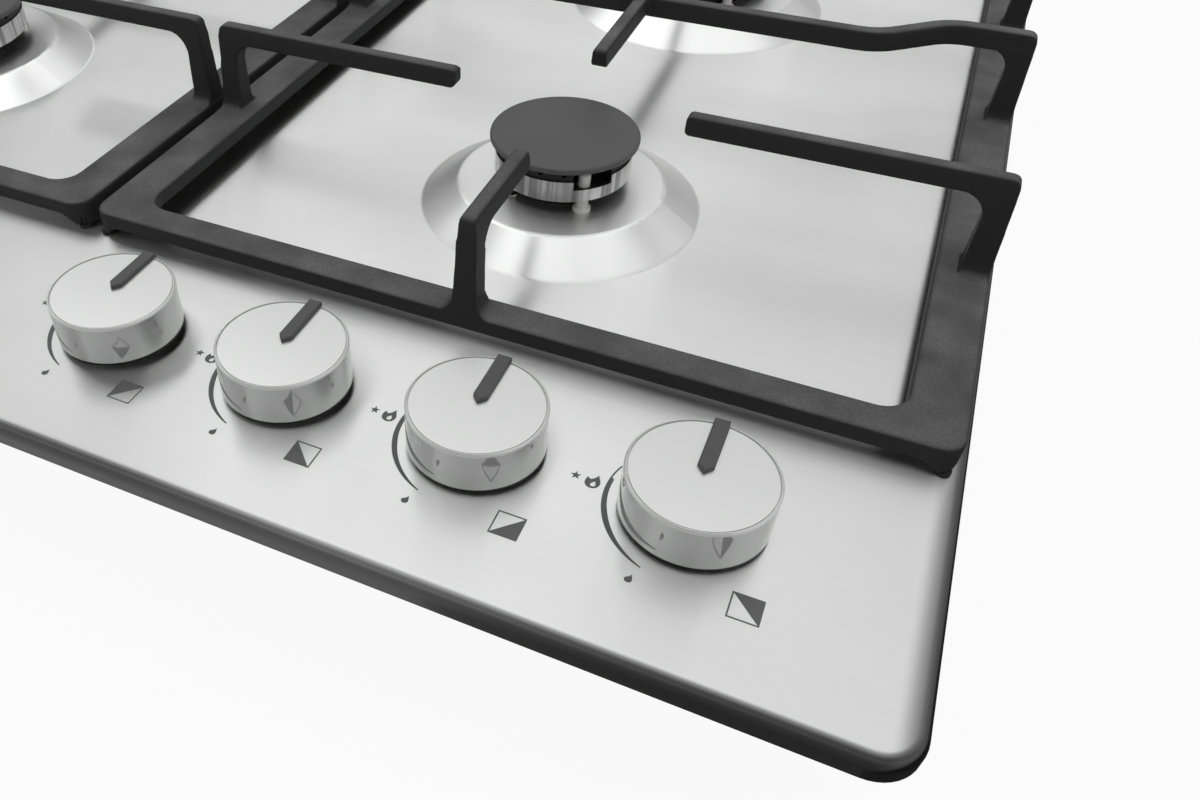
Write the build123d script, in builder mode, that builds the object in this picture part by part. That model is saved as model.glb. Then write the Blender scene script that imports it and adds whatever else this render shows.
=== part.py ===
from build123d import *
from math import atan2, cos, pi, radians, sin, tan
import os

# Built-in gas hob. X runs along its front edge to the right, Y to the back, Z up.
# Origin: middle of the footprint, at the underside of the tray. Millimetres.

# ---- hob top ----
hob_width = 580.0
hob_depth = 500.0
pan_sheet = 1.0
pan_rise = 7.5                # top of the sheet above the worktop
pan_corner_radius = 12.0
pan_edge_radius = 4.0

# ---- tray below the worktop ----
tray_height = 42.0            # underside of the tray to the worktop
tray_sheet = 1.0
tray_inset = 12.0             # tray wall inside the hob's edge
tray_front_inset = 35.0       # front wall, set back out of sight under the rim
tray_corner_radius = 8.0
tray_flange = 7.0
seal_gap = 1.0                # seal to tray wall
vent_length = 60.0
vent_width = 4.0
vent_pitch = 14.0
vent_count = 5

# ---- burners ----
cap_radius_small = 25.9
cap_radius_medium = 34.0
cap_radius_large = 44.0
cap_thickness = 2.1
cap_round = 0.9
cone_rise = 8.8               # plateau above the flat of the pan
plateau_margin = 10.9         # plateau beyond the cap
cone_run = 13.5
cone_top_round = 3.0
cone_foot_round = 1.5
neck_inset = 9.4              # cup neck inside the cap's edge
neck_wall = 3.2
neck_rise = 3.7               # cup neck above the plateau
neck_clearance = 0.5          # cup neck to the plateau's hole
ring_inset = 1.9
ring_wall = 1.0
ring_rise = 5.2               # underside of the bright ring above the plateau
ring_height = 7.5
crown_inset = 2.5
crown_wall = 2.9
crown_height = 3.7
disc_drop = 4.5               # underside of the head's disc below the ring's top
disc_thickness = 2.5
tube_drop = 6.5
tube_wall = 2.4
port_radius = 0.8
port_pitch = 8.0
pocket_width = 14.0
pocket_wall = 1.2
pocket_depth = 3.1            # floor of the notch below the ring's top
pocket_inset = 9.2            # inner wall of the notch inside the cap's edge
tube_clearance = 0.4          # head's tube to the cup's bore
shoulder_step = 0.5           # head's shoulder inside the cup's neck
lip_clearance = 0.5           # cap's lip to the crown and the pocket walls
lip_depth = 1.8
port_drop = 1.5               # port axes below the crown's top
igniter_inset = 5.4           # electrode and thermocouple axis inside the cap's edge
notch_angles = (-45.0, 135.0) # front notch for the electrode, rear for the thermocouple
electrode_angle = -50.0
thermocouple_angle = 135.0
electrode_radius = 2.1
electrode_bevel = 0.8
igniter_collar = 3.1
collar_height = 0.9
igniter_drop = 12.0           # ends below the plateau
spark_pin_radius = 0.7
spark_pin = 1.2
spark_gap = 0.8               # pin to the cap
thermocouple_gap = 2.2        # sensor to the cap
thermocouple_radius = 1.6
igniter_hole = 2.6
screw_inset = 4.9
screw_angles = (53.0, 233.0)
screw_radius = 2.0
screw_head_radius = 3.4
screw_head_height = 1.8
screw_round = 0.45            # rounding of a head, as a share of its height
screw_length = 9.0
slot_width = 0.7
flange_thickness = 2.0
flange_inset = 1.0            # cup flange inside the cap's edge
cup_floor_z = 36.0
cup_floor = 2.0
feed_level = 31.0             # height of all feed pipes
boss_radius = 8.0
boss_height = 12.0
pipe_radius = 3.0
pipe_bore = 2.2
injector_radius = 2.6
injector_head = 4.0
injector_head_height = 3.0
injector_gap = 1.0            # injector above the feed pipe's end
jet_radius = 0.4

# ---- pan supports ----
grate_edge_margin = 3.8       # to the hob's side edge
grate_gap = 4.4               # between the two supports
knob_strip = 89.9             # hob's front edge to the supports
rear_strip = 23.9
bar_clearance = 4.8           # underside of the frame above the pan
bar_height = 5.4
bar_width = 11.6
side_bar_width = 16.0
frame_corner = 7.0
frame_inner_corner = 8.0
frame_edge_chamfer = 0.8
grate_rise = 42.7             # pan rest above the pan
finger_width = 5.2
finger_foot_width = 6.2       # at the underside, with the draft of the casting
finger_depth = 6.6
finger_chamfer = 0.8
tip_chamfer = 1.2
leg_depth = 9.3               # supports' edge to the inner face of a leg
leg_width = 8.2               # on the frame
leg_inset = 0.5
leg_lean = 2.1
leg_root_round = 4.5
knee_round = 3.5
elbow_round = 8.0
leg_sink = 0.5                # legs start this far up in the frame
crossbar_width = 5.8
crossbar_depth = 7.4
crossbar_offset = 19.2        # middle of the supports to the crossbar's front run
crossbar_run = 87.4           # burner axis to the start of each end bend
crossbar_slant = 40.0
crossbar_bend = 20.0
crossbar_leg_reach = 22.0
tip_gap_front = 16.0          # cap's edge to the finger tips
tip_gap_side = 14.8
tip_gap_cross = 6.4
front_burner_setback = 87.5   # supports' front edge to the front burners
rear_burner_setback = 106.0   # supports' rear edge to the rear burners
foot_sweep = 11.6             # side edge to the start of the foot's curve
foot_rim = 0.8                # around each rubber pad
pad_radius = 2.0
pad_height = 1.2
pad_stem_radius = 1.0
pad_stem = 4.0

# ---- knobs and taps ----
knob_edge = 63.05             # hob's side edge to the last knob
knob_pitch = 61.05
knob_count = 4
knob_setback = 50.9           # hob's front edge to the knobs
knob_face_radius = 19.5
knob_base_radius = 19.6
push_travel = 1.6
press_gap = 0.3               # left under a knob that is pushed in
knob_top = 15.8               # knob's rim above the pan
knob_wall = 1.7
knob_roof = 2.6
knob_edge_round = 0.4
knob_rim = 0.6
knob_groove = 0.4
knob_groove_depth = 0.6
face_recess = 0.2
knob_hub_radius = 6.5
knob_hub_gap = 3.8
pointer_width = 4.1
pointer_tip = 2.3
pointer_rise = 1.1
pointer_seat = 1.2            # slot for the pointer below the rim
pointer_overhang = 0.5
pointer_lip = 2.4             # fold over the rim, from the middle of the slot
pointer_bevel = 0.3
slot_clearance = 0.1
spindle_radius = 4.0
spindle_flat = 1.2
spindle_top_gap = 1.0
bearing_clearance = 0.06
grommet_radius = 9.5
grommet_neck = 6.9
grommet_hook = 1.6            # lip under the pan
grommet_lip = 1.0
grommet_bore = 4.4
pan_hole_clearance = 0.1
tap_width = 22.0
tap_front = 13.0
tap_back = 13.9
tap_round = 3.0
tap_floor = 6.0
tap_top = 36.0
bonnet_radius = 10.0
bonnet_height = 4.0
bonnet_lid = 2.0
tap_bore = 6.6
tap_bore_floor = 17.0
plunger_radius = 6.2
plunger_height = 5.0
plunger_spare = 3.4           # left under a plunger that is pushed in
plunger_chamfer = 0.5
outlet_radius = 5.0
outlet_length = 4.0
nipple_radius = 4.0
nipple_length = 2.2

# ---- gas rail ----
rail_radius = 7.5
rail_wall = 1.5
rail_setback = 21.5           # behind the knob row
rail_level = 16.0
rail_overrun = 18.0
rail_side_gap = 32.0          # rail's rear run to the hob's side edge
rail_bend = 18.0
union_thread_radius = 10.48
union_thread_length = 11.0
union_neck_radius = 9.8
union_bore = 6.0
union_hex = 24.0
union_hex_length = 8.0
union_flats = 6
union_socket = 8.0            # depth of the rail's end in the union
union_inside = 12.0           # union inside the tray's rear wall
union_outside = 11.5          # end of the thread outside the tray's rear wall
fit_gap = 0.1

# ---- feed pipe routes ----
pipe_bend = 14.0
pipe_entry = 4.0              # pipe's end before the burner axis
front_run = 24.0              # outer pipe's front run behind the tap row
inner_run = 46.0              # inner pipe's front run behind the tap row
outer_run = 46.0              # outer pipe beside the left burners
rear_entry_run = 50.0         # rear pipes turn in before the burner axis

# ---- spark generator, terminal block, cable gland, clamps ----
generator_size = (70.0, 40.0, 24.0)
generator_setback = 100.0     # hob's rear edge to the generator's middle
generator_round = 3.0
tower_pitch = 15.5
tower_radius = 3.0
tower_height = 5.0
terminal_size = (44.0, 24.0, 18.0)
terminal_setback = 45.0       # hob's rear edge to the block's middle
terminal_side_gap = 75.0      # hob's side edge to the block's middle
terminal_pitch = 10.0
terminal_hole = 2.2
terminal_hole_depth = 6.0
gland_level = 16.0
gland_radius = 8.0
gland_bore = 4.5
gland_flange = 10.5
gland_collar = 2.0
gland_inside = 8.0
gland_outside = 5.0
clamp_width = 18.0
clamp_sheet = 1.5
clamp_screw_z = 5.5
clamp_reach = 9.0
worktop_thickness = 30.0
clamp_inset = 100.0           # hob's front or rear edge to the clamps

# ---- derived places ----
front_y = -hob_depth / 2
rear_y = hob_depth / 2
side_x = hob_width / 2
worktop_z = tray_height
pan_top = worktop_z + pan_rise
pan_under = pan_top - pan_sheet
plateau_z = pan_top + cone_rise
seat_z = plateau_z + neck_rise
ring_bottom = plateau_z + ring_rise
ring_top = ring_bottom + ring_height
disc_bottom = ring_top - disc_drop
disc_top = disc_bottom + disc_thickness
head_top = ring_top + crown_height
flange_top = plateau_z - pan_sheet

grate_width = side_x - grate_edge_margin - grate_gap / 2
grate_front = front_y + knob_strip
grate_rear = rear_y - rear_strip
grate_depth = grate_rear - grate_front
grate_mid_y = (grate_front + grate_rear) / 2
burner_x = (grate_gap + grate_width) / 2
front_burner_y = grate_front + front_burner_setback
rear_burner_y = grate_rear - rear_burner_setback
bar_bottom = pan_top + bar_clearance
bar_top = bar_bottom + bar_height
grate_top = pan_top + grate_rise
finger_bottom = grate_top - finger_depth
leg_bottom = bar_bottom + leg_sink
foot_drop = bar_clearance - pad_height
pad_inset = foot_rim + pad_radius
crossbar_y = grate_mid_y - crossbar_offset

knob_clearance = push_travel + press_gap
knob_y = front_y + knob_setback
knob_xs = [side_x - knob_edge - knob_pitch * (knob_count - 1 - i) for i in range(knob_count)]
rail_y = knob_y + rail_setback
plunger_floor = tap_bore_floor + push_travel + plunger_spare
rail_x = side_x - rail_side_gap
tray_wall_y = rear_y - tray_inset
tray_wall_x = side_x - tray_inset
tray_front_y = front_y + tray_front_inset
tray_depth = tray_wall_y - tray_front_y
tray_mid_y = (tray_wall_y + tray_front_y) / 2
clamp_y = rear_y - clamp_inset
generator_at = (0, rear_y - generator_setback)
terminal_at = (terminal_side_gap - side_x, rear_y - terminal_setback)

# name, side, axis y, cap radius
burners = [
    ("front_left", -1, front_burner_y, cap_radius_medium),
    ("rear_left", -1, rear_burner_y, cap_radius_large),
    ("front_right", 1, front_burner_y, cap_radius_small),
    ("rear_right", 1, rear_burner_y, cap_radius_medium),
]
# the knobs from left to right turn these burners
knob_burners = ["rear_left", "front_left", "front_right", "rear_right"]

os.makedirs("parts", exist_ok=True)


def write(piece, name):
    """Label a finished piece and write it as its own file."""
    piece.label = name
    export_step(piece, f"parts/{name}.step")


def polar(centre_x, centre_y, radius, angle):
    """Point at a radius and angle round a vertical axis."""
    return centre_x + radius * cos(radians(angle)), centre_y + radius * sin(radians(angle))


def turned(x, y, outline):
    """Solid of revolution round the vertical axis at (x, y); outline is (radius, z) points."""
    with BuildPart() as blank:
        with BuildSketch(Plane(origin=(x, y, 0), x_dir=(1, 0, 0), z_dir=(0, -1, 0))):
            with BuildLine():
                Polyline(*outline, close=True)
            make_face()
        revolve(axis=Axis((x, y, 0), (0, 0, 1)))
    return blank.part


def round_corners(sketch, radius, *points):
    """Round the corners of a sketch that lie nearest to the given points of its plane."""
    fillet([sketch.vertices().sort_by_distance((*point, 0))[0] for point in points], radius)


def group(solids):
    """Several separate solids kept as one piece."""
    with BuildPart() as joined:
        add(solids)
    return joined.part


def tube_along(points, bend, outer, inner):
    """Bent tube through flat route points with one bend radius."""
    with BuildPart() as tube:
        with BuildLine() as route:
            if len(points) > 2:
                FilletPolyline(*points, radius=bend)
            else:
                Line(*points)
        with BuildSketch(Plane(route.line @ 0, z_dir=route.line % 0)):
            Circle(outer)
            Circle(inner, mode=Mode.SUBTRACT)
        sweep(path=route.line)
    return tube.part


# ---------------------------------------------------------------- hob top
def embossed_plateau(x, y, cap):
    """Raised cone and plateau of one burner, as thick as the sheet, and its outer radius."""
    hole = cap - neck_inset + neck_clearance
    crest = cap + plateau_margin
    foot = crest + cone_run
    lap = foot + 2 * cone_foot_round
    under = pan_sheet * tan(atan2(cone_rise, cone_run) / 2)
    with BuildPart() as plateau:
        with BuildSketch(Plane(origin=(x, y, 0), x_dir=(1, 0, 0), z_dir=(0, -1, 0))) as section:
            with BuildLine():
                Polyline(
                    (hole, plateau_z), (crest, plateau_z), (foot, pan_top), (lap, pan_top),
                    (lap, pan_under), (foot - under, pan_under), (crest - under, flange_top),
                    (hole, flange_top), close=True,
                )
            make_face()
            round_corners(section, cone_top_round, (crest, plateau_z))
            round_corners(section, cone_top_round - pan_sheet, (crest - under, flange_top))
            round_corners(section, cone_foot_round, (foot, pan_top))
            round_corners(section, cone_foot_round + pan_sheet, (foot - under, pan_under))
        revolve(axis=Axis((x, y, 0), (0, 0, 1)))
    return plateau.part, lap


plateaus = [embossed_plateau(side * burner_x, y, cap) for _, side, y, cap in burners]

with BuildPart() as pan_hollow:
    with BuildSketch(Plane.XY.offset(worktop_z)):
        RectangleRounded(hob_width - 2 * pan_sheet, hob_depth - 2 * pan_sheet, pan_corner_radius - pan_sheet)
    extrude(amount=pan_rise - pan_sheet)
    fillet(pan_hollow.faces().sort_by(Axis.Z)[-1].edges(), pan_edge_radius - pan_sheet)


def flange_holes(x, y, cap, z):
    """Holes in the plateau and the cup's flange for the igniter, thermocouple and screws."""
    for angle in (electrode_angle, thermocouple_angle):
        with Locations((*polar(x, y, cap - igniter_inset, angle), z)):
            Cylinder(igniter_hole, 4 * flange_thickness, mode=Mode.SUBTRACT)
    for angle in screw_angles:
        with Locations((*polar(x, y, cap - screw_inset, angle), z)):
            Cylinder(screw_radius + fit_gap, 4 * flange_thickness, mode=Mode.SUBTRACT)


with BuildPart() as pan:
    with BuildSketch(Plane.XY.offset(worktop_z)):
        RectangleRounded(hob_width, hob_depth, pan_corner_radius)
    extrude(amount=pan_rise)
    fillet(pan.faces().sort_by(Axis.Z)[-1].edges(), pan_edge_radius)
    add(pan_hollow.part, mode=Mode.SUBTRACT)
    for (name, side, y, cap), (plateau, lap) in zip(burners, plateaus):
        with Locations((side * burner_x, y, pan_top)):
            Cylinder(lap, 4 * pan_sheet, mode=Mode.SUBTRACT)
        add(plateau)
        flange_holes(side * burner_x, y, cap, plateau_z)
    for x in knob_xs:
        with Locations((x, knob_y, pan_top)):
            Cylinder(grommet_neck + pan_hole_clearance, 4 * pan_sheet, mode=Mode.SUBTRACT)
write(pan.part, "hob_pan")

# ---------------------------------------------------------------- seal and tray
seal_width = hob_width - 2 * tray_inset + 2 * tray_flange
seal_depth = hob_depth - 2 * tray_inset + 2 * tray_flange
with BuildPart() as seal:
    with BuildSketch(Plane.XY.offset(worktop_z)):
        RectangleRounded(seal_width, seal_depth, tray_corner_radius + tray_flange)
        RectangleRounded(2 * (tray_wall_x + seal_gap), 2 * (tray_wall_y + seal_gap),
                         tray_corner_radius + seal_gap, mode=Mode.SUBTRACT)
    extrude(amount=pan_rise - pan_sheet - tray_sheet)
write(seal.part, "worktop_seal")

gland_x = terminal_at[0]
with BuildPart() as tray:
    with BuildSketch(Plane((0, tray_mid_y, 0))):
        RectangleRounded(2 * tray_wall_x, tray_depth, tray_corner_radius)
    extrude(amount=pan_under)
    with BuildSketch(Plane.XY.offset(pan_under - tray_sheet)):
        RectangleRounded(seal_width, seal_depth, tray_corner_radius + tray_flange)
    extrude(amount=tray_sheet)
    with BuildSketch(Plane((0, tray_mid_y, tray_sheet))):
        RectangleRounded(2 * (tray_wall_x - tray_sheet), tray_depth - 2 * tray_sheet,
                         tray_corner_radius - tray_sheet)
    extrude(amount=pan_under, mode=Mode.SUBTRACT)
    # air slots in the floor, left and right of the middle
    for side in (-1, 1):
        with BuildSketch():
            with Locations((side * burner_x / 2, grate_mid_y)):
                with GridLocations(0, vent_pitch, 1, vent_count):
                    SlotOverall(vent_length, vent_width)
        extrude(amount=tray_sheet, mode=Mode.SUBTRACT)
    # rear wall: gas union and cable gland
    with Locations((rail_x, tray_wall_y, rail_level)):
        Cylinder(union_thread_radius + fit_gap, 4 * tray_sheet, rotation=(90, 0, 0), mode=Mode.SUBTRACT)
    with Locations((gland_x, tray_wall_y, gland_level)):
        Cylinder(gland_radius + fit_gap, 4 * tray_sheet, rotation=(90, 0, 0), mode=Mode.SUBTRACT)
    # clamp screws in the side walls
    for side in (-1, 1):
        for end in (-1, 1):
            with Locations((side * tray_wall_x, end * clamp_y, clamp_screw_z)):
                Cylinder(screw_radius + fit_gap, 4 * tray_sheet, rotation=(0, 90, 0), mode=Mode.SUBTRACT)
write(tray.part, "under_tray")

# ---------------------------------------------------------------- clamps and screws
clamp_z = worktop_z - worktop_thickness
with BuildPart() as clamps:
    for side in (-1, 1):
        for end in (-1, 1):
            plate_x = side * (tray_wall_x + clamp_sheet / 2)
            arm_x = side * (tray_wall_x + clamp_reach / 2)
            with Locations((plate_x, end * clamp_y, clamp_z / 2 + tray_sheet)):
                Box(clamp_sheet, clamp_width, clamp_z - 2 * tray_sheet)
            with Locations((arm_x, end * clamp_y, clamp_z - clamp_sheet / 2)):
                Box(clamp_reach, clamp_width, clamp_sheet)
            with Locations((plate_x, end * clamp_y, clamp_screw_z)):
                Cylinder(screw_radius + fit_gap, 4 * clamp_sheet, rotation=(0, 90, 0), mode=Mode.SUBTRACT)
write(clamps.part, "worktop_clamps")


def screw(head, shank):
    """Pan-head screw pointing down, its head's underside at the origin."""
    with BuildPart() as body:
        with Locations((0, 0, head / 2)):
            Cylinder(screw_head_radius, head)
        fillet(body.edges().group_by(Axis.Z)[-1], head * screw_round)
        with Locations((0, 0, -shank / 2)):
            Cylinder(screw_radius, shank)
        for turn in (0, 90):
            with Locations((0, 0, head)):
                Box(slot_width, screw_head_radius, head, rotation=(0, 0, turn), mode=Mode.SUBTRACT)
    return body.part


burner_screw = screw(screw_head_height, screw_length)
clamp_screw = screw(screw_head_height, 2 * clamp_sheet + tray_sheet)
with BuildPart() as burner_screws:
    for name, side, y, cap in burners:
        for angle in screw_angles:
            spot = polar(side * burner_x, y, cap - screw_inset, angle)
            add(burner_screw.moved(Location((*spot, plateau_z))))
write(burner_screws.part, "burner_screws")

with BuildPart() as clamp_screws:
    for side in (-1, 1):
        for end in (-1, 1):
            spot = (side * (tray_wall_x + clamp_sheet), end * clamp_y, clamp_screw_z)
            add(clamp_screw.moved(Location(spot, (0, side * 90, 0))))
write(clamp_screws.part, "clamp_screws")


# ---------------------------------------------------------------- burners
def burner_base(x, y, cap):
    """Cup under the plateau: flange, neck through the pan, floor and inlet boss."""
    neck = cap - neck_inset
    bore = neck - neck_wall
    with BuildPart() as base:
        add(turned(x, y, [
            (bore, cup_floor_z + cup_floor), (bore, seat_z), (neck, seat_z), (neck, flange_top),
            (cap - flange_inset, flange_top), (cap - flange_inset, flange_top - flange_thickness),
            (neck, flange_top - flange_thickness),
            (neck, cup_floor_z), (0, cup_floor_z), (0, cup_floor_z + cup_floor),
        ]))
        with Locations((x, y, cup_floor_z - boss_height / 2)):
            Cylinder(boss_radius, boss_height)
        with Locations((x, y, (feed_level + cup_floor_z + cup_floor) / 2)):
            Cylinder(injector_radius + fit_gap, cup_floor_z + cup_floor - feed_level, mode=Mode.SUBTRACT)
        with Locations((x, y - boss_radius / 2, feed_level)):
            Cylinder(pipe_radius + fit_gap, boss_radius, rotation=(90, 0, 0), mode=Mode.SUBTRACT)
        flange_holes(x, y, cap, flange_top)
    return base.part


def burner_head(x, y, cap):
    """Head: inner tube, disc, bright ring, crown with ports and two open notches."""
    neck = cap - neck_inset
    tube = neck - neck_wall - tube_clearance
    tube_in = tube - tube_wall
    shoulder = neck - shoulder_step
    ring = cap - ring_inset
    crown = cap - crown_inset
    chamber = crown - crown_wall
    notch_in = cap - pocket_inset
    notch_floor = ring_top - pocket_depth
    pocket_in = notch_in - pocket_wall
    pocket_out = chamber + crown_wall / 2
    with BuildPart() as head:
        add(turned(x, y, [
            (tube_in, seat_z - tube_drop), (tube, seat_z - tube_drop), (tube, seat_z), (shoulder, seat_z),
            (shoulder, disc_bottom), (ring - ring_wall, disc_bottom), (ring - ring_wall, ring_bottom),
            (ring, ring_bottom), (ring, ring_top), (crown, ring_top), (crown, head_top), (chamber, head_top),
            (chamber, disc_top), (tube_in, disc_top),
        ]))
        for angle in notch_angles:
            with Locations(Location((x, y, (disc_top + head_top) / 2), (0, 0, angle))):
                with Locations(((pocket_in + pocket_out) / 2, 0, 0)):
                    Box(pocket_out - pocket_in, pocket_width + 2 * pocket_wall, head_top - disc_top)
            with Locations(Location((x, y, head_top), (0, 0, angle))):
                with Locations(((notch_in + cap) / 2, 0, 0)):
                    Box(cap - notch_in, pocket_width, 2 * (head_top - notch_floor), mode=Mode.SUBTRACT)
        for angle in (electrode_angle, thermocouple_angle):
            with Locations((*polar(x, y, cap - igniter_inset, angle), disc_bottom)):
                Cylinder(igniter_hole, 4 * disc_thickness, mode=Mode.SUBTRACT)
        count = round(2 * pi * crown / port_pitch)
        closed = pocket_width / 2 + pocket_wall + 2 * port_radius
        with Locations((x, y, head_top - port_drop)):
            for i in range(count):
                angle = 360 / count * (i + 0.5)
                turn = min(abs((angle - notch + 180) % 360 - 180) for notch in notch_angles)
                if turn > 90 or sin(radians(turn)) * crown > closed:
                    with PolarLocations(crown - crown_wall / 2, 1, start_angle=angle):
                        Cylinder(port_radius, 2 * crown_wall, rotation=(0, 90, 0), mode=Mode.SUBTRACT)
    return head.part


def burner_cap(x, y, cap):
    """Cap with a rounded rim and a locating lip that is open at the notches."""
    lip = cap - crown_inset - crown_wall - lip_clearance
    opening = pocket_width + 2 * (pocket_wall + lip_clearance)
    with BuildPart() as lid:
        with Locations((x, y, head_top + cap_thickness / 2)):
            Cylinder(cap, cap_thickness)
        fillet(lid.edges().group_by(Axis.Z)[-1], cap_round)
        fillet(lid.edges().group_by(Axis.Z)[0], cap_round / 2)
        with BuildSketch(Plane.XY.offset(head_top)):
            with Locations((x, y)):
                Circle(lip)
                Circle(lip - pocket_wall, mode=Mode.SUBTRACT)
                for angle in notch_angles:
                    with Locations(Location((0, 0), angle)):
                        with Locations((cap / 2, 0)):
                            Rectangle(cap, opening, mode=Mode.SUBTRACT)
        extrude(amount=-lip_depth)
    return lid.part


def electrode(x, y, cap):
    """Ceramic rod with a collar on the plateau and a steel spark pin."""
    spot = polar(x, y, cap - igniter_inset, electrode_angle)
    top = head_top - spark_gap - spark_pin
    collar_top = plateau_z + collar_height
    return turned(*spot, [
        (0, plateau_z - igniter_drop), (electrode_radius, plateau_z - igniter_drop),
        (electrode_radius, plateau_z), (igniter_collar, plateau_z), (igniter_collar, collar_top),
        (electrode_radius, collar_top + collar_height), (electrode_radius, top - electrode_bevel),
        (electrode_radius - electrode_bevel, top), (spark_pin_radius, top),
        (spark_pin_radius, top + spark_pin), (0, top + spark_pin),
    ])


def injector(x, y):
    """Jet screwed into the cup's floor from above, over the feed pipe's end."""
    floor_top = cup_floor_z + cup_floor
    foot = feed_level + pipe_radius + injector_gap
    return turned(x, y, [
        (jet_radius, foot), (injector_radius, foot), (injector_radius, floor_top), (injector_head, floor_top),
        (injector_head, floor_top + injector_head_height), (jet_radius, floor_top + injector_head_height),
    ])


def thermocouple(x, y, cap):
    """Flame sensor rod with a collar on the plateau."""
    spot = polar(x, y, cap - igniter_inset, thermocouple_angle)
    top = head_top - thermocouple_gap
    collar_top = plateau_z + collar_height
    return turned(*spot, [
        (0, plateau_z - igniter_drop), (thermocouple_radius, plateau_z - igniter_drop),
        (thermocouple_radius, plateau_z), (igniter_collar, plateau_z), (igniter_collar, collar_top),
        (thermocouple_radius, collar_top), (thermocouple_radius, top - thermocouple_radius / 2), (0, top),
    ])


for name, side, y, cap in burners:
    write(burner_base(side * burner_x, y, cap), f"burner_cup_{name}")
    write(burner_head(side * burner_x, y, cap), f"burner_head_{name}")
    write(burner_cap(side * burner_x, y, cap), f"burner_cap_{name}")
    write(electrode(side * burner_x, y, cap), f"spark_electrode_{name}")
write(group([injector(side * burner_x, y) for _, side, y, _ in burners]), "injectors")
write(group([thermocouple(side * burner_x, y, cap) for _, side, y, cap in burners]), "thermocouples")


# ---------------------------------------------------------------- pan supports
def finger(reach):
    """Leg and finger that stand on the frame's outer edge at the origin and point along +Y."""
    flare = leg_width / 2 + leg_root_round + leg_sink
    half = finger_width / 2
    with BuildPart() as arm:
        with BuildSketch(Plane.YZ) as side_view:
            with BuildLine():
                Polyline(
                    (leg_inset, leg_bottom), (leg_inset, bar_top), (leg_inset + leg_lean, grate_top),
                    (reach - tip_chamfer, grate_top), (reach, grate_top - tip_chamfer),
                    (reach, finger_bottom + tip_chamfer), (reach - tip_chamfer, finger_bottom),
                    (leg_depth, finger_bottom), (leg_depth, leg_bottom), close=True,
                )
            make_face()
            round_corners(side_view, knee_round, (leg_inset + leg_lean, grate_top))
            round_corners(side_view, elbow_round, (leg_depth, finger_bottom))
        extrude(amount=flare, both=True)
        with BuildSketch(Plane.XZ) as front_view:
            with BuildLine():
                Polyline(
                    (0, grate_top), (half - finger_chamfer, grate_top), (half, grate_top - finger_chamfer),
                    (finger_foot_width / 2, finger_bottom), (leg_width / 2, bar_top),
                    (flare, bar_top), (flare, leg_bottom), (0, leg_bottom), close=True,
                )
            make_face()
            round_corners(front_view, leg_root_round, (leg_width / 2, bar_top))
            mirror(about=Plane.YZ)
        extrude(amount=2 * reach, both=True, mode=Mode.INTERSECT)
    return arm.part


def plain_finger(length):
    """Finger that starts in the crossbar at the origin and points along +Y."""
    half = finger_width / 2
    flat = half - finger_chamfer
    foot = finger_foot_width / 2
    with BuildPart() as arm:
        with BuildSketch(Plane.YZ):
            with BuildLine():
                Polyline(
                    (0, finger_bottom), (0, grate_top), (length - tip_chamfer, grate_top),
                    (length, grate_top - tip_chamfer), (length, finger_bottom + tip_chamfer),
                    (length - tip_chamfer, finger_bottom), close=True,
                )
            make_face()
        extrude(amount=finger_width, both=True)
        with BuildSketch(Plane.XZ):
            with BuildLine():
                Polyline(
                    (-foot, finger_bottom), (-half, grate_top - finger_chamfer), (-flat, grate_top),
                    (flat, grate_top), (half, grate_top - finger_chamfer), (foot, finger_bottom), close=True,
                )
            make_face()
        extrude(amount=2 * length, both=True, mode=Mode.INTERSECT)
    return arm.part


def corner_foot(frame_x, sign_x, sign_y):
    """Foot under one corner of a frame; its inner side sweeps up into the bar."""
    corner = (frame_x + sign_x * grate_width / 2, grate_mid_y + sign_y * grate_depth / 2, bar_bottom)
    flat = pad_inset + pad_radius
    with BuildPart() as foot:
        with BuildSketch(Plane(origin=corner, x_dir=(-sign_x, 0, 0), z_dir=(0, sign_x, 0))):
            with BuildLine():
                Polyline(
                    (flat, -foot_drop), (0, -foot_drop), (0, leg_sink), (foot_sweep, leg_sink),
                    (foot_sweep, 0),
                )
                TangentArc((foot_sweep, 0), (flat, -foot_drop), tangent=(-1, 0))
            make_face()
        extrude(amount=-sign_x * sign_y * bar_width)
    return foot.part


corner_signs = [(sign_x, sign_y) for sign_x in (-1, 1) for sign_y in (-1, 1)]


def pad_spot(frame_x, sign_x, sign_y):
    """Middle of one rubber pad."""
    return (
        frame_x + sign_x * (grate_width / 2 - pad_inset),
        grate_mid_y + sign_y * (grate_depth / 2 - pad_inset),
    )


def support_crossbar(frame_x):
    """Bar across the middle: it bends back at both ends to the legs on the side bars."""
    bend_out = crossbar_run + crossbar_offset / tan(radians(crossbar_slant))
    end = grate_width / 2 - leg_depth / 2
    with BuildPart() as crossbar:
        with BuildSketch(Plane.XY.offset(grate_top - crossbar_depth)):
            with BuildLine() as route:
                FilletPolyline(
                    (frame_x - end, grate_mid_y), (frame_x - bend_out, grate_mid_y),
                    (frame_x - crossbar_run, crossbar_y), (frame_x + crossbar_run, crossbar_y),
                    (frame_x + bend_out, grate_mid_y), (frame_x + end, grate_mid_y), radius=crossbar_bend,
                )
            trace(route.line, crossbar_width)
        extrude(amount=crossbar_depth)
        chamfer(crossbar.faces().sort_by(Axis.Z)[-1].edges(), finger_chamfer)
    return crossbar.part


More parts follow.
